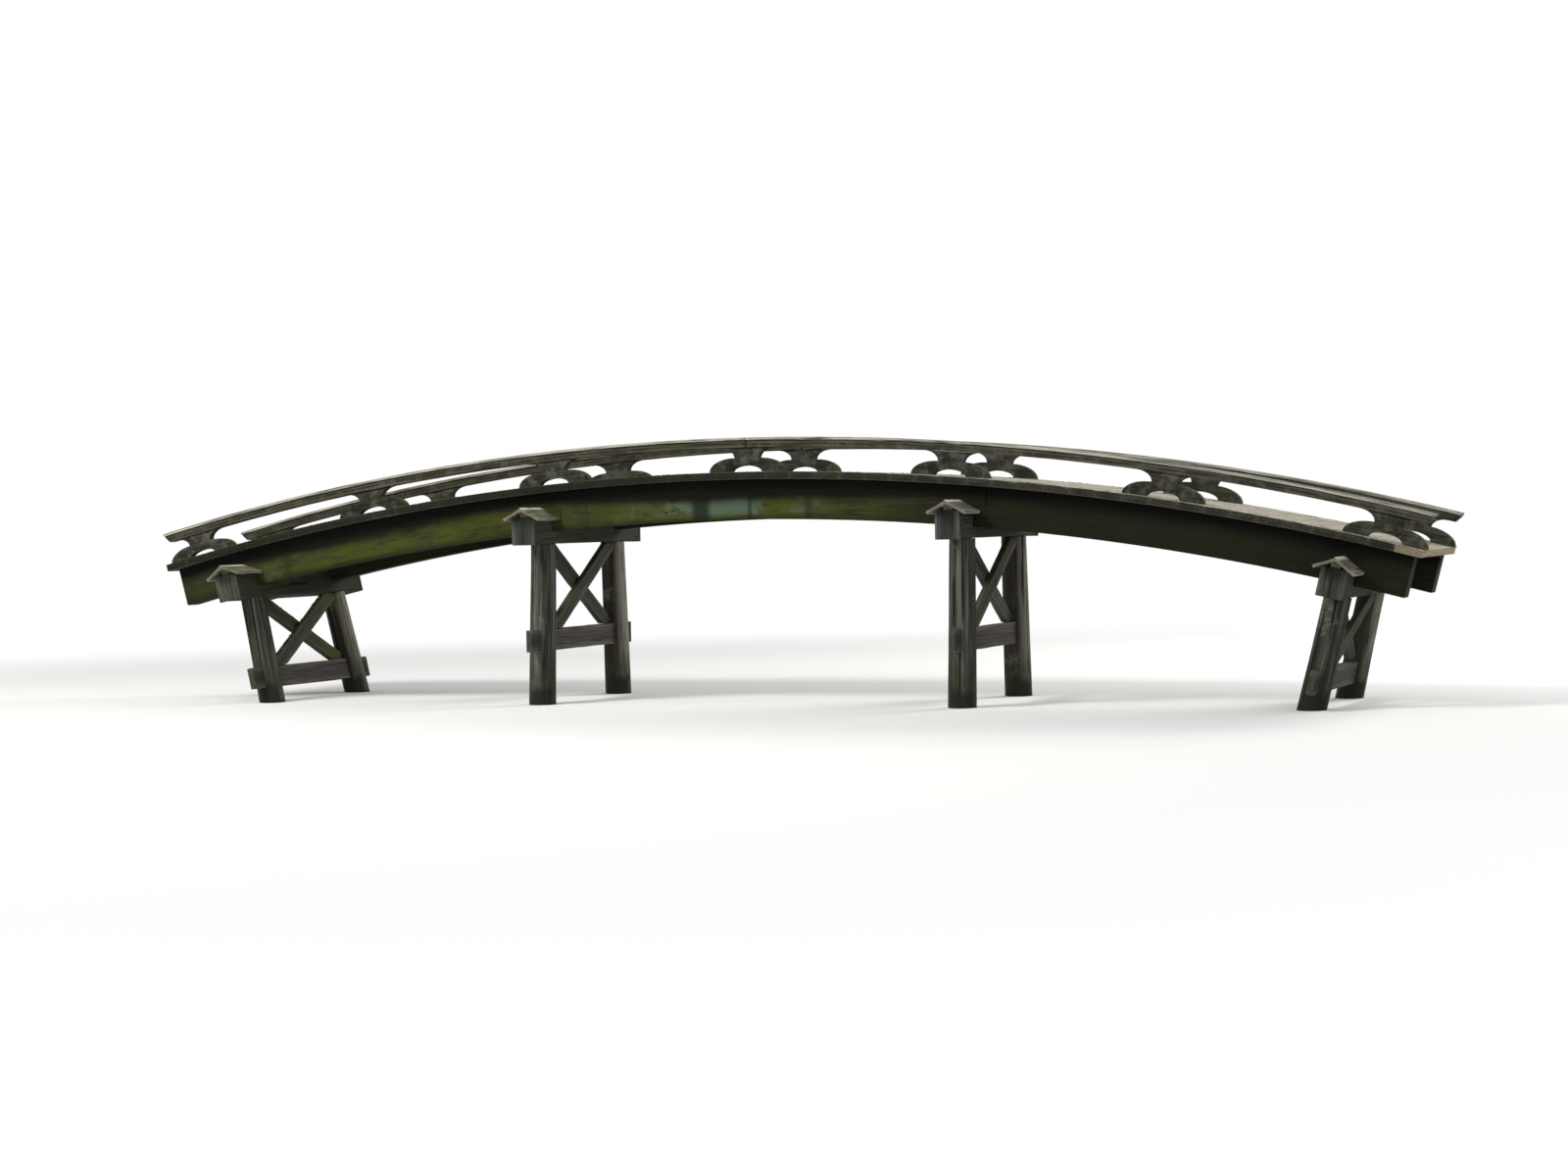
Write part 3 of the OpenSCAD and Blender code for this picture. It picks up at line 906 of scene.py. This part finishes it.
for bent, bent_x in BENTS.items():
    place = bent_frame(bent_x)
    middle = place @ at(0, 0, (HEAD_TOP + HEAD_BOTTOM) / 2)
    beam = sweep(f"beam_{bent}", straight(middle, HEAD_LENGTH), HEAD_WIDTH, HEAD_DEPTH,
                 corner=0.012, seed=seed)
    fit(beam, beam_finish, "head_beam_wood", f"head_beam_{bent}")
    low = place @ at(0, 0, below_girders(bent_x, TIE_HEIGHT[leans(bent_x)]))
    tie = sweep(f"cross_tie_{bent}", straight(low, TIE_LENGTH), TIE_WIDTH, TIE_DEPTH,
                corner=0.007, seed=seed + 1)
    fit(tie, tie_finish, "tie_wood", f"tie_{bent}")
    seed += 2
print("head beams and ties", 2 * len(BENTS))

# %% [markdown]
# Two crossing braces fill the panel between beam and tie. They pass each other side by
# side, and are cut to lie flat against beam and tie.

# %% Braces
BRACE_DEPTH, BRACE_WIDTH = 0.15, 0.06

for bent, bent_x in BENTS.items():
    place = bent_frame(bent_x)
    up = upward_of(place)
    panel_top = HEAD_BOTTOM - SEAT
    panel_bottom = below_girders(bent_x, TIE_HEIGHT[leans(bent_x)]) + TIE_DEPTH / 2 + SEAT
    slope = math.atan2(panel_top - panel_bottom, LEG_SPREAD - 2 * LEG_RADIUS)
    bars = []
    for sy in SIDES.values():
        centre = at(sy * (BRACE_WIDTH + SEAT) / 2, 0, (panel_top + panel_bottom) / 2)
        tilted = place @ centre @ turned(sy * slope, "X")
        bar = sweep("brace", straight(tilted, LEG_SPREAD / math.cos(slope)), BRACE_WIDTH, BRACE_DEPTH,
                    corner=0.007, seed=seed)
        clip(bar, place @ Vector((0, 0, panel_top)), up)
        clip(bar, place @ Vector((0, 0, panel_bottom)), -up)
        bars.append(bar)
        seed += 1
    finish = mossy_brace_finish if bent == "left_bank" else brace_finish
    fit(join(f"crossed_braces_{bent}", bars), finish, "brace_wood", f"braces_{bent}")
print("brace pairs", len(BENTS))

# %% [markdown]
# ## End boards and rain caps
# Rain rots a beam from its sawn ends, so a board is nailed over each of them. Its grain
# runs up and down, and it is a little larger than the beam.

# %% End boards
BOARD_THICKNESS, BOARD_LIP = 0.03, 0.006
board_height = HEAD_DEPTH + BOARD_LIP
board_width = HEAD_WIDTH + 2 * BOARD_LIP


def board_place(bent_x, sy):
    """Middle of an end board; its z axis points out of the beam's end."""
    centre = at(0, sy * (HEAD_LENGTH / 2 + SEAT + BOARD_THICKNESS / 2), HEAD_TOP - board_height / 2)
    return bent_frame(bent_x) @ centre @ turned(-sy * math.pi / 2, "X")


for bent, bent_x in BENTS.items():
    boards = [sweep("board", straight(board_place(bent_x, sy), board_height, 0.03), board_width,
                    BOARD_THICKNESS, corner=0.004, wear=0.0012, seed=seed + sy) for sy in SIDES.values()]
    fit(join(f"end_cover_{bent}", boards), board_finish, "end_board_wood", f"end_boards_{bent}")
    seed += 3
print("end boards", 2 * len(BENTS))

# %% [markdown]
# A small two-board roof above each end board sheds the rain. It rests on a narrow block
# along the beam's top. At the ridge one roof board laps over the other, as the boards of
# a larger roof do, so that no rain gets between them.

# %% Rain caps
CAP_PITCH = math.radians(28)
CAP_HALF, CAP_BOARD, CAP_OVERHANG = 0.174, 0.028, 0.045
CAP_LAPS = {-1: -0.002, 1: 0.028}
CAP_LIFT, CAP_BLOCK = 0.001, 0.09
cap_inner = GIRDER_SPREAD / 2 + GIRDER_WIDTH / 2 + SEAT
cap_outer = HEAD_LENGTH / 2 + BOARD_THICKNESS + CAP_OVERHANG
cap_slope = CAP_HALF / math.cos(CAP_PITCH)
ridge_height = HEAD_WIDTH / 2 * math.tan(CAP_PITCH)


def cap_board(bent_x, sy, hand, lap):
    """Middle of one roof board, and its width; the lap is what it gives or takes at the ridge."""
    ridge = bent_frame(bent_x) @ at(0, sy * (cap_inner + cap_outer) / 2, HEAD_TOP + SEAT + ridge_height)
    width = cap_slope + lap
    sideways = at(hand * (cap_slope - width / 2), 0, CAP_BOARD / 2 + CAP_LIFT)
    return ridge @ turned(hand * CAP_PITCH) @ sideways, width


for bent, bent_x in BENTS.items():
    parts = []
    for sy in SIDES.values():
        for hand, lap in CAP_LAPS.items():
            middle, width = cap_board(bent_x, sy, hand, lap)
            parts.append(sweep("cap", straight(middle, cap_outer - cap_inner, 0.05), width, CAP_BOARD,
                               corner=0.003, wear=0.0018, seed=seed))
            seed += 1
        length = HEAD_LENGTH / 2 - cap_inner
        under = bent_frame(bent_x) @ at(0, sy * (cap_inner + length / 2), HEAD_TOP + SEAT + ridge_height / 2)
        parts.append(sweep("cap_block", straight(under, length, 0.1), CAP_BLOCK, ridge_height,
                           corner=0.003, wear=0.001, seed=seed))
    fit(join(f"rain_roof_{bent}", parts), rain_finish, "rain_cap_wood", f"rain_caps_{bent}")
print("rain caps", 2 * len(BENTS))

# %% [markdown]
# ## Girders
# The girders keep the frame's own shape, with their halved splices and their notches
# over the head beams. A copy of each node has its loose triangles joined and its sharp
# edges eased by a Bevel modifier, and then gets the arch's coordinates for its grain.

# %% Ease a shape
EDGE_WIDTH, EDGE_STEPS = 0.009, 3


def kept(one):
    """A plain mesh of an object as its modifiers leave it."""
    view = bpy.context.evaluated_depsgraph_get()
    return bpy.data.meshes.new_from_object(one.evaluated_get(view))


def eased(made, angle):
    """Rounds the edges that turn by more than an angle in degrees."""
    ease = made.modifiers.new("ease", "BEVEL")
    ease.width, ease.segments, ease.limit_method = EDGE_WIDTH, EDGE_STEPS, "ANGLE"
    ease.angle_limit = math.radians(angle)
    mesh = kept(made)
    made.modifiers.clear()
    sharp, made.data = made.data, mesh
    bpy.data.meshes.remove(sharp)
    return made


def points_of(mesh):
    """Every point of a mesh, as rows of x, y, z."""
    rows = np.empty(len(mesh.vertices) * 3, np.float32)
    mesh.vertices.foreach_get("co", rows)
    return rows.reshape(-1, 3)


def normals_of(mesh):
    return np.array([vertex.normal for vertex in mesh.vertices])


def end_grain(along):
    """How much of the end grain shows, from how far a surface faces along the grain."""
    return np.clip(1.4 * np.abs(along) - 0.4, 0, 1)


# %% [markdown]
# Each girder is three lengths that are halved into each other over the middle bents. The
# angle along the arch tells where a point lies on the grain, and what looks along the
# arch there is end grain.

# %% Make the girders
FLAT_ANGLE = math.radians(0.3)

for side in SIDES:
    for index, part in enumerate(("left", "middle", "right")):
        source = f"girder_{side}_{part}"
        shape = bmesh.new()
        shape.from_mesh(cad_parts[source].data)
        bmesh.ops.remove_doubles(shape, verts=shape.verts[:], dist=1e-5)
        bmesh.ops.dissolve_limit(shape, angle_limit=FLAT_ANGLE, verts=shape.verts[:], edges=shape.edges[:])
        girder = eased(object_of(f"curved_{source}", shape), 40)
        spots = points_of(girder.data)
        normals = normals_of(girder.data)
        height = spots[:, 2] - ARCH_CENTRE
        angle = np.arctan2(spots[:, 0], height)
        out = np.hypot(spots[:, 0], height) - GIRDER_MIDDLE
        lengthwise = np.cos(angle) * normals[:, 0] - np.sin(angle) * normals[:, 2]
        blank = np.zeros(len(spots))
        write_values(girder.data, grain=np.c_[angle * GIRDER_MIDDLE, spots[:, 1], out], edge=blank,
                     end=end_grain(lengthwise), tone=blank + own_tone(index + 4))
        fit(girder, girder_finish, "girder_wood", source)
        print(source, len(girder.data.polygons), "faces")

# %% [markdown]
# ## What repeats along the arch
# Planks, nails and balustrade blocks are the same thing many times over, at even steps
# along the arch. That is work for Geometry Nodes. A tree here has named inputs, keeps
# the identifier of each, and ends with its material as the last thing before the output.

# %% A tree with named inputs
class Grower(Tree):
    """A Geometry Nodes tree, from a starting value for each of its inputs."""

    def __init__(self, name, **inputs):
        super().__init__(bpy.data.node_groups.new(name, "GeometryNodeTree"))
        new_socket = self.tree.interface.new_socket
        new_socket("Geometry", in_out="OUTPUT", socket_type="NodeSocketGeometry")
        self.keys = {}
        for label, start in (("Geometry", None), *inputs.items(), ("Material", None)):
            kind = label if start is None else "Int" if isinstance(start, int) else "Float"
            socket = new_socket(label.replace("_", " "), in_out="INPUT", socket_type=f"NodeSocket{kind}")
            if start is not None:
                socket.default_value = start
            self.keys[label] = socket.identifier
        self.given = self.add("NodeGroupInput").outputs

    def chance(self, low, high):
        """A random number for every copy."""
        return self.add("FunctionNodeRandomValue", data_type="FLOAT", _2=low, _3=high,
                        Seed=self.given["Seed"]).outputs[1]

    def upward(self, normal, low, high):
        return self.between(self.part(normal, 2), low, high)

    def pushed(self, shape, normal, amount):
        """Moves every point along its normal."""
        along = self.vector("SCALE", normal, Scale=amount)
        return self.add("GeometryNodeSetPosition", shape, Offset=along)

    def finish_with(self, shape):
        painted = self.add("GeometryNodeSetMaterial", shape, Material=self.given["Material"])
        self.add("NodeGroupOutput", painted)
        print("tree", self.tree.name, len(self.tree.nodes), "nodes")


# %% [markdown]
# One tree puts copies of any mesh at even steps along the arch. It gives each its own
# tone and a small error of place, and wears down the faces that look up, so that no two
# copies are alike.

# %% Tree for copies along the arch
tree = copies = Grower("copies_along_the_arch", Count=10, First_Angle=0.0, Step_Angle=0.01,
                       Radius=ARCH_RADIUS, Centre_Height=ARCH_CENTRE, Slip=0.0, Sink=0.0, Wear=0.0, Seed=1)
given = tree.given
index = tree.add("GeometryNodeInputIndex")
angle = tree.calc("MULTIPLY_ADD", index, given["Step Angle"], given["First Angle"])
sunk = tree.calc("MULTIPLY", tree.chance(-1.0, 0.0), given["Sink"])
radius = tree.calc("ADD", given["Radius"], sunk)
across = tree.calc("MULTIPLY", tree.chance(-1.0, 1.0), given["Slip"])
forward = tree.calc("MULTIPLY", tree.calc("SINE", angle), radius)
height = tree.calc("MULTIPLY_ADD", tree.calc("COSINE", angle), radius, given["Centre Height"])
where = tree.add("CombineXYZ", forward, across, height)
line = tree.add("GeometryNodeMeshLine", Count=given["Count"])
placed = tree.add("GeometryNodeSetPosition", line, Position=where)
turn = tree.add("FunctionNodeEulerToRotation", tree.add("CombineXYZ", Y=angle))
row = tree.add("GeometryNodeInstanceOnPoints", placed, Instance=given["Geometry"], Rotation=turn)
toned = tree.add("GeometryNodeStoreNamedAttribute", row, data_type="FLOAT", domain="INSTANCE",
                 Name="tone", Value=tree.chance(0.0, 1.0))
real = tree.add("GeometryNodeRealizeInstances", toned)
own = tree.add("GeometryNodeInputNamedAttribute", data_type="FLOAT", Name="tone")
rough = tree.cloud(tree.add("GeometryNodeInputPosition"), 7.0, 3.0, noise_dimensions="4D",
                   W=tree.calc("MULTIPLY", own, 40.0))
normal = tree.add("GeometryNodeInputNormal")
worn = tree.calc("MULTIPLY", tree.calc("MULTIPLY", rough, tree.upward(normal, 0.4, 0.9)), given["Wear"])
tree.finish_with(tree.pushed(real, normal, tree.calc("MULTIPLY", worn, -1.0)))

# %% [markdown]
# A tree works on an object through a modifier. Its inputs are set first, by their
# identifiers, and then the result is kept as a plain mesh, which the checks and the
# export can read as it is.

# %% Run a tree on a mesh
def grown(name, one, grower, **values):
    step = one.modifiers.new("step", "NODES")
    step.node_group = grower.tree
    for label, value in values.items():
        step[grower.keys[label]] = value
    mesh = kept(one)
    discard(one)
    mesh.name = name
    print(name, len(mesh.polygons), "faces")
    return new_object(name, mesh)


# %% [markdown]
# ## Deck
# The deck is 52 planks laid across the girders with an open joint between them. In the
# frame they are three groups, so the row is made three times. Each plank's top is worn a
# few millimetres hollow by use.

# %% Deck planks
PLANK_COUNT, PLANK_GAP = 52, 0.008
plank_step = 2 * DECK_END / PLANK_COUNT
plank_width = plank_step * ARCH_RADIUS - PLANK_GAP
third = PLANK_COUNT // 3
counts = {"left": third, "middle": PLANK_COUNT - 2 * third, "right": third}
flat = at(0, 0, -PLANK_THICKNESS / 2)

first = 0
for part, count in counts.items():
    one = sweep("plank", straight(flat, DECK_WIDTH, 0.05), plank_width, PLANK_THICKNESS,
                corner=0.006, step=0.028, wear=0.0)
    row = grown(f"planks_{part}", one, copies, Count=count, Radius=ARCH_RADIUS,
                First_Angle=-DECK_END + (first + 0.5) * plank_step, Step_Angle=plank_step,
                Slip=0.005, Sink=0.001, Wear=0.0045, Seed=first + 5, Material=deck_finish)
    fit(row, deck_finish, "deck_wood", f"deck_{part}")
    first += count

# %% [markdown]
# ## Balustrade
# Low blocks stand along each edge of the deck. Each is carved from one thick piece: an
# arched foot, a narrow waist and a head that flares out to the rail. Its outline is
# drawn once, with finer curves than the frame's: three quarter ellipses on each side.

# %% Outline of a block
BLOCK_FOOT, BLOCK_WAIST, BLOCK_HEAD = 0.37, 0.12, 0.26
BLOCK_HEIGHT, WAIST_HEIGHT, BLOCK_THICKNESS = 0.22, 0.128, 0.08
OPENING_HALF, OPENING_RISE = 0.15, 0.056
CURVE_STEPS = 18
RAIL_SPREAD = 1.45
block_bottom = ARCH_RADIUS + 2 * SEAT
rail_bottom = ARCH_RADIUS + BLOCK_HEIGHT


def drop(x, radius):
    """How far an arc has fallen at a distance from its crown."""
    return math.sqrt(radius * radius - x * x) - radius


def block_outline():
    top = rail_bottom - SEAT - block_bottom
    turns = [math.radians(90 * part / CURVE_STEPS) for part in range(CURVE_STEPS + 1)]
    low = drop(OPENING_HALF, block_bottom)
    toe = drop(BLOCK_FOOT, block_bottom)
    shoulder = top + drop(BLOCK_HEAD, rail_bottom)
    out, flare = BLOCK_FOOT - BLOCK_WAIST, BLOCK_HEAD - BLOCK_WAIST
    right = [(OPENING_HALF * math.cos(t), low + (OPENING_RISE - low) * math.sin(t)) for t in turns[-2::-1]]
    right += [(BLOCK_WAIST + out * math.cos(t), toe + (WAIST_HEIGHT - toe) * math.sin(t)) for t in turns]
    right += [(BLOCK_WAIST + flare * (1 - math.cos(t)),
               WAIST_HEIGHT + (shoulder - WAIST_HEIGHT) * math.sin(t)) for t in turns[1:]]
    right.append((BLOCK_HEAD / 2, top + drop(BLOCK_HEAD / 2, rail_bottom)))
    left = [(-x, z) for x, z in reversed(right)]
    return right + [(0, top)] + left + [(0, OPENING_RISE)]


# %% [markdown]
# The outline becomes one face, which is pushed through the block's thickness and eased
# at its edges. The eased band is what bleaches, and the faces that look along the bridge
# are end grain.

# %% A block
EDGE_BAND = (0.0005, 0.0095)


def block(y):
    shape = bmesh.new()
    face = shape.faces.new([shape.verts.new((x, y - BLOCK_THICKNESS / 2, z)) for x, z in block_outline()])
    made = bmesh.ops.extrude_face_region(shape, geom=[face])
    moved = [part for part in made["geom"] if isinstance(part, bmesh.types.BMVert)]
    bmesh.ops.translate(shape, vec=(0, BLOCK_THICKNESS, 0), verts=moved)
    bmesh.ops.recalc_face_normals(shape, faces=shape.faces[:])
    one = eased(object_of("block", shape), 50)
    spots = points_of(one.data)
    depth = BLOCK_THICKNESS / 2 - np.abs(spots[:, 1] - y)
    edge = (depth > EDGE_BAND[0]) & (depth < EDGE_BAND[1])
    write_values(one.data, grain=spots, edge=edge.astype(float),
                 end=end_grain(normals_of(one.data)[:, 0]), tone=np.zeros(len(spots)))
    return one


# %% [markdown]
# Seven blocks stand on each side, one of them at the crown.

# %% Rows of blocks
BLOCKS, BLOCK_PITCH = 7, 1.97
block_step = BLOCK_PITCH / ARCH_RADIUS

for side, sy in SIDES.items():
    row = grown(f"carved_blocks_{side}", block(sy * RAIL_SPREAD / 2), copies, Count=BLOCKS,
                First_Angle=-(BLOCKS // 2) * block_step, Step_Angle=block_step, Radius=block_bottom,
                Seed=9 + sy, Material=block_finish)
    fit(row, block_finish, "block_wood", f"blocks_{side}")

# %% [markdown]
# A rail runs over the blocks on each side, in two lengths that meet at the crown. Its
# tip is undercut. A thin cap board, wider than the rail, keeps the rain off it.

# %% Rails and caps
RAIL_DEPTH, RAIL_WIDTH = 0.07, 0.116
CAP_THICKNESS, CAP_WIDTH = 0.026, 0.15
RAIL_OVERHANG, TIP_SLOPE, BUTT = 0.01, math.radians(35), 0.0015
rail_top = rail_bottom + RAIL_DEPTH
rail_end = math.asin((DECK_LENGTH / 2 + RAIL_OVERHANG) / ARCH_RADIUS)
butt_angle = BUTT / ARCH_RADIUS


def arch_path(radius, y, start, stop, spacing=0.08):
    """Path along the arch, for a stick whose width lies across the bridge."""
    count = max(2, round(abs(stop - start) * radius / spacing))
    turn = turned(math.radians(-90), "Z")
    return [arch_frame(start + (stop - start) * i / count, radius, y) @ turn for i in range(count + 1)]


for side, sy in SIDES.items():
    y = sy * RAIL_SPREAD / 2
    caps = []
    for end, hand in (("left", -1), ("right", 1)):
        reach = (-rail_end, -butt_angle) if hand == -1 else (butt_angle, rail_end)
        rail = sweep(f"curved_rail_{side}_{end}", arch_path(rail_bottom + RAIL_DEPTH / 2, y, *reach),
                     RAIL_WIDTH, RAIL_DEPTH, corner=0.009, step=0.03, seed=seed)
        undercut = at(-hand * RAIL_DEPTH * math.tan(TIP_SLOPE)) @ turned(hand * TIP_SLOPE)
        heel = arch_frame(hand * rail_end, rail_bottom, y) @ undercut
        clip(rail, heel.translation, heel.to_3x3() @ Vector((hand, 0, 0)))
        fit(rail, rail_finish, "rail_wood", f"rail_{side}_{end}")
        caps.append(sweep("cap", arch_path(rail_top + SEAT + CAP_THICKNESS / 2, y, *reach), CAP_WIDTH,
                          CAP_THICKNESS, corner=0.004, step=0.03, seed=seed + 1))
        seed += 2
    fit(join(f"cap_boards_{side}", caps), cap_finish, "rail_cap_wood", f"rail_cap_{side}")
print("rails", 4)

# %% [markdown]
# ## Nails
# Every board is held by forged nails with low round heads, now brown with rust. Fine
# noise mixes two browns and pits the metal.

# %% Nail finish
rust = bpy.data.materials.new("nail_rust")
tree = Tree(emptied(rust))
pits = tree.cloud(tree.spot(), 180.0, 3.0)
tree.paint(tree.shades(pits, (0.35, (12, 9, 8)), (0.75, (100, 42, 18))), pits, 0.4, 0.001,
           Roughness=0.7, Metallic=0.35)

# %% [markdown]
# A head is a small turned shape of four rings, the lowest sunk into the wood.

# %% Nail heads
NAIL_POINTS = 12
NAIL_PROFILE = ((1.0, -1.0), (1.0, 0.35), (0.82, 0.8), (0.4, 1.0))


def nail_heads(name, places, radius=0.0075, height=0.003):
    """Low round heads at a list of places, whose z axes point out of the wood."""
    shape = bmesh.new()
    turns = [2 * math.pi * part / NAIL_POINTS for part in range(NAIL_POINTS)]
    for place in places:
        rings = []
        for wide, high in NAIL_PROFILE:
            spots = [Vector((wide * radius * math.cos(t), wide * radius * math.sin(t), high * height))
                     for t in turns]
            rings.append([shape.verts.new(place @ spot) for spot in spots])
        for low, high in zip(rings, rings[1:]):
            for i in range(NAIL_POINTS):
                j = (i + 1) % NAIL_POINTS
                shape.faces.new((low[i], low[j], high[j], high[i]))
        shape.faces.new(rings[-1])
        shape.faces.new(list(reversed(rings[0])))
    made = object_of(name, shape)
    made.data.shade_smooth()
    return made


# %% [markdown]
# The nails along the arch use the same tree as the planks, with all the nails of one
# plank as the thing that is copied. They go into the girders, and on the cap boards into
# the rails.

# %% Nails of the deck and the cap boards
NAIL_ALONG, NAIL_SINK = 0.07, 0.0025
CAP_NAILS, CAP_NAIL_ACROSS, CAP_NAIL_SINK = 30, 0.04, 0.0027
cap_reach = 0.975 * rail_end

plank_nails = [at(x, sy * GIRDER_SPREAD / 2, -NAIL_SINK) for sy in SIDES.values()
               for x in (-NAIL_ALONG, NAIL_ALONG)]
cap_nails = [at(0, sy * RAIL_SPREAD / 2 + off, -CAP_NAIL_SINK) for sy in SIDES.values()
             for off in (-CAP_NAIL_ACROSS, CAP_NAIL_ACROSS)]
fit(grown("deck_nails", nail_heads("nail", plank_nails), copies, Count=PLANK_COUNT,
          First_Angle=-DECK_END + plank_step / 2, Step_Angle=plank_step, Radius=ARCH_RADIUS,
          Seed=2, Material=rust), rust)
fit(grown("cap_nails", nail_heads("nail", cap_nails, 0.006), copies, Count=CAP_NAILS,
          First_Angle=-cap_reach, Step_Angle=2 * cap_reach / (CAP_NAILS - 1),
          Radius=rail_top + SEAT + CAP_THICKNESS, Seed=3, Material=rust), rust)
print("nails along the arch", PLANK_COUNT * len(plank_nails) + CAP_NAILS * len(cap_nails))

# %% [markdown]
# End boards have four nails each, and so has each roof board: two half-way down its
# slope and two near its lower edge. There are few enough of them to place one by one.

# %% Nails of the end boards and rain caps
BOARD_NAILS = [(x, y) for x in (-0.075, 0.075) for y in (-0.09, 0.09)]
ROOF_NAILS = [(x, y) for x in (0.0, 0.055) for y in (-0.11, 0.08)]
BOARD_NAIL_SINK, ROOF_NAIL_SINK = 0.0005, 0.001

spots = []
for bent_x in BENTS.values():
    for sy in SIDES.values():
        front = board_place(bent_x, sy) @ at(0, 0, BOARD_THICKNESS / 2 - BOARD_NAIL_SINK)
        spots += [front @ at(x, y) for x, y in BOARD_NAILS]
        for hand in (-1, 1):
            roof = cap_board(bent_x, sy, hand, 0.0)[0] @ at(0, 0, CAP_BOARD / 2 - ROOF_NAIL_SINK)
            spots += [roof @ at(hand * x, y) for x, y in ROOF_NAILS]
fit(nail_heads("board_nails", spots, 0.005, 0.0025), rust)
print("nails of the boards", len(spots))

# %% [markdown]
# ## Moss cushions
# Moss settles in small cushions where the wood stays damp: along the edges of the deck,
# on the braces of the left end and on the rain caps. A tree scatters points over a
# surface, keeps those in damp patches that look up, and grows a lumpy cushion on each.

# %% Tree for moss
tree = cushions = Grower("moss_cushions", Density=100.0, Size=0.012, Patch_Scale=3.0, Patch_Edge=0.5,
                         Seed=1)
given = tree.given
spot = tree.add("GeometryNodeInputPosition")
normal = tree.add("GeometryNodeInputNormal")
damp = tree.calc("SUBTRACT", tree.cloud(spot, given["Patch Scale"], 3.0), given["Patch Edge"])
wanted = tree.calc("MULTIPLY", tree.between(damp, 0.0, 0.08), tree.upward(normal, 0.3, 0.7))
points = tree.add("GeometryNodeDistributePointsOnFaces", given["Geometry"], Seed=given["Seed"],
                  Density=tree.calc("MULTIPLY", wanted, given["Density"]))
size = tree.calc("MULTIPLY", tree.chance(0.45, 1.25), given["Size"])
scale = tree.add("CombineXYZ", size, size, tree.calc("MULTIPLY", size, 0.55))
ball = tree.add("GeometryNodeMeshUVSphere", Radius=1.0, Segments=9, Rings=6)
scattered = tree.add("GeometryNodeInstanceOnPoints", points, Instance=ball, Scale=scale,
                     Rotation=points.outputs["Rotation"])
real = tree.add("GeometryNodeRealizeInstances", scattered)
lumps = tree.calc("SUBTRACT", tree.cloud(spot, 110.0, 2.0), 0.62)
push = tree.calc("MULTIPLY", lumps, tree.calc("MULTIPLY", given["Size"], 1.3))
tree.finish_with(tree.pushed(real, normal, push))

# %% [markdown]
# The moss itself goes from nearly black between its tufts to yellow-green on top. A
# little sheen gives it its soft rim.

# %% Moss finish
moss_material = bpy.data.materials.new("moss")
tree = Tree(emptied(moss_material))
tufts = tree.cloud(tree.spot(), 420.0, 4.0)
beds = tree.cloud(tree.spot(), 9.0, 2.0)
mixed = tree.calc("MULTIPLY_ADD", beds, 0.5, tree.calc("MULTIPLY", tufts, 0.5))
tree.paint(tree.shades(mixed, (0.36, (22, 30, 7)), (0.64, (130, 155, 30))), tufts, 0.9, 0.003,
           Roughness=0.95, Sheen_Weight=0.3, Sheen_Roughness=0.6, Specular_IOR_Level=0.15)

# %% [markdown]
# On the deck the cushions grow on two strips that are made for them, just below the
# planks' surface. Each row of cushions is kept inside the frame's own box.

# %% Moss on the deck's edges
STRIP_FROM, STRIP_TO, STRIP_DEPTH, STRIP_STEPS = 0.80, 0.892, 0.004, 40


def edge_strip(name):
    shape = bmesh.new()
    for sy in SIDES.values():
        bounds = sorted((sy * STRIP_FROM, sy * STRIP_TO))
        rows = []
        for part in range(-STRIP_STEPS, STRIP_STEPS + 1):
            places = [arch_frame(DECK_END * part / STRIP_STEPS, ARCH_RADIUS - STRIP_DEPTH, y) for y in bounds]
            rows.append([shape.verts.new(place.translation) for place in places])
        for a, b in zip(rows, rows[1:]):
            shape.faces.new((a[0], b[0], b[1], a[1]))
    return object_of(name, shape)


def moss_on(name, surface, **values):
    made = grown(name, surface, cushions, Material=moss_material, **values)
    inside = np.clip(points_of(made.data), np.array(frame_low), np.array(frame_high))
    made.data.vertices.foreach_set("co", inside.ravel())
    made.data.shade_smooth()
    fit(made, moss_material)


moss_on("deck_moss", edge_strip("strip"), Density=2600.0, Size=0.011, Patch_Scale=3.4,
        Patch_Edge=0.56, Seed=4)

# %% [markdown]
# On the braces and the rain caps they grow on copies of the pieces themselves.

# %% Moss on braces and rain caps
def copy_of(name):
    return new_object("copy", bpy.data.objects[name].data.copy())


moss_on("brace_moss", copy_of("crossed_braces_left_bank"), Density=1500.0, Size=0.011, Patch_Scale=5.0,
        Patch_Edge=0.42, Seed=6)
moss_on("roof_moss", join("roofs", [copy_of(f"rain_roof_{bent}") for bent in BENTS]), Density=600.0,
        Size=0.008, Patch_Scale=7.0, Patch_Edge=0.56, Seed=8)
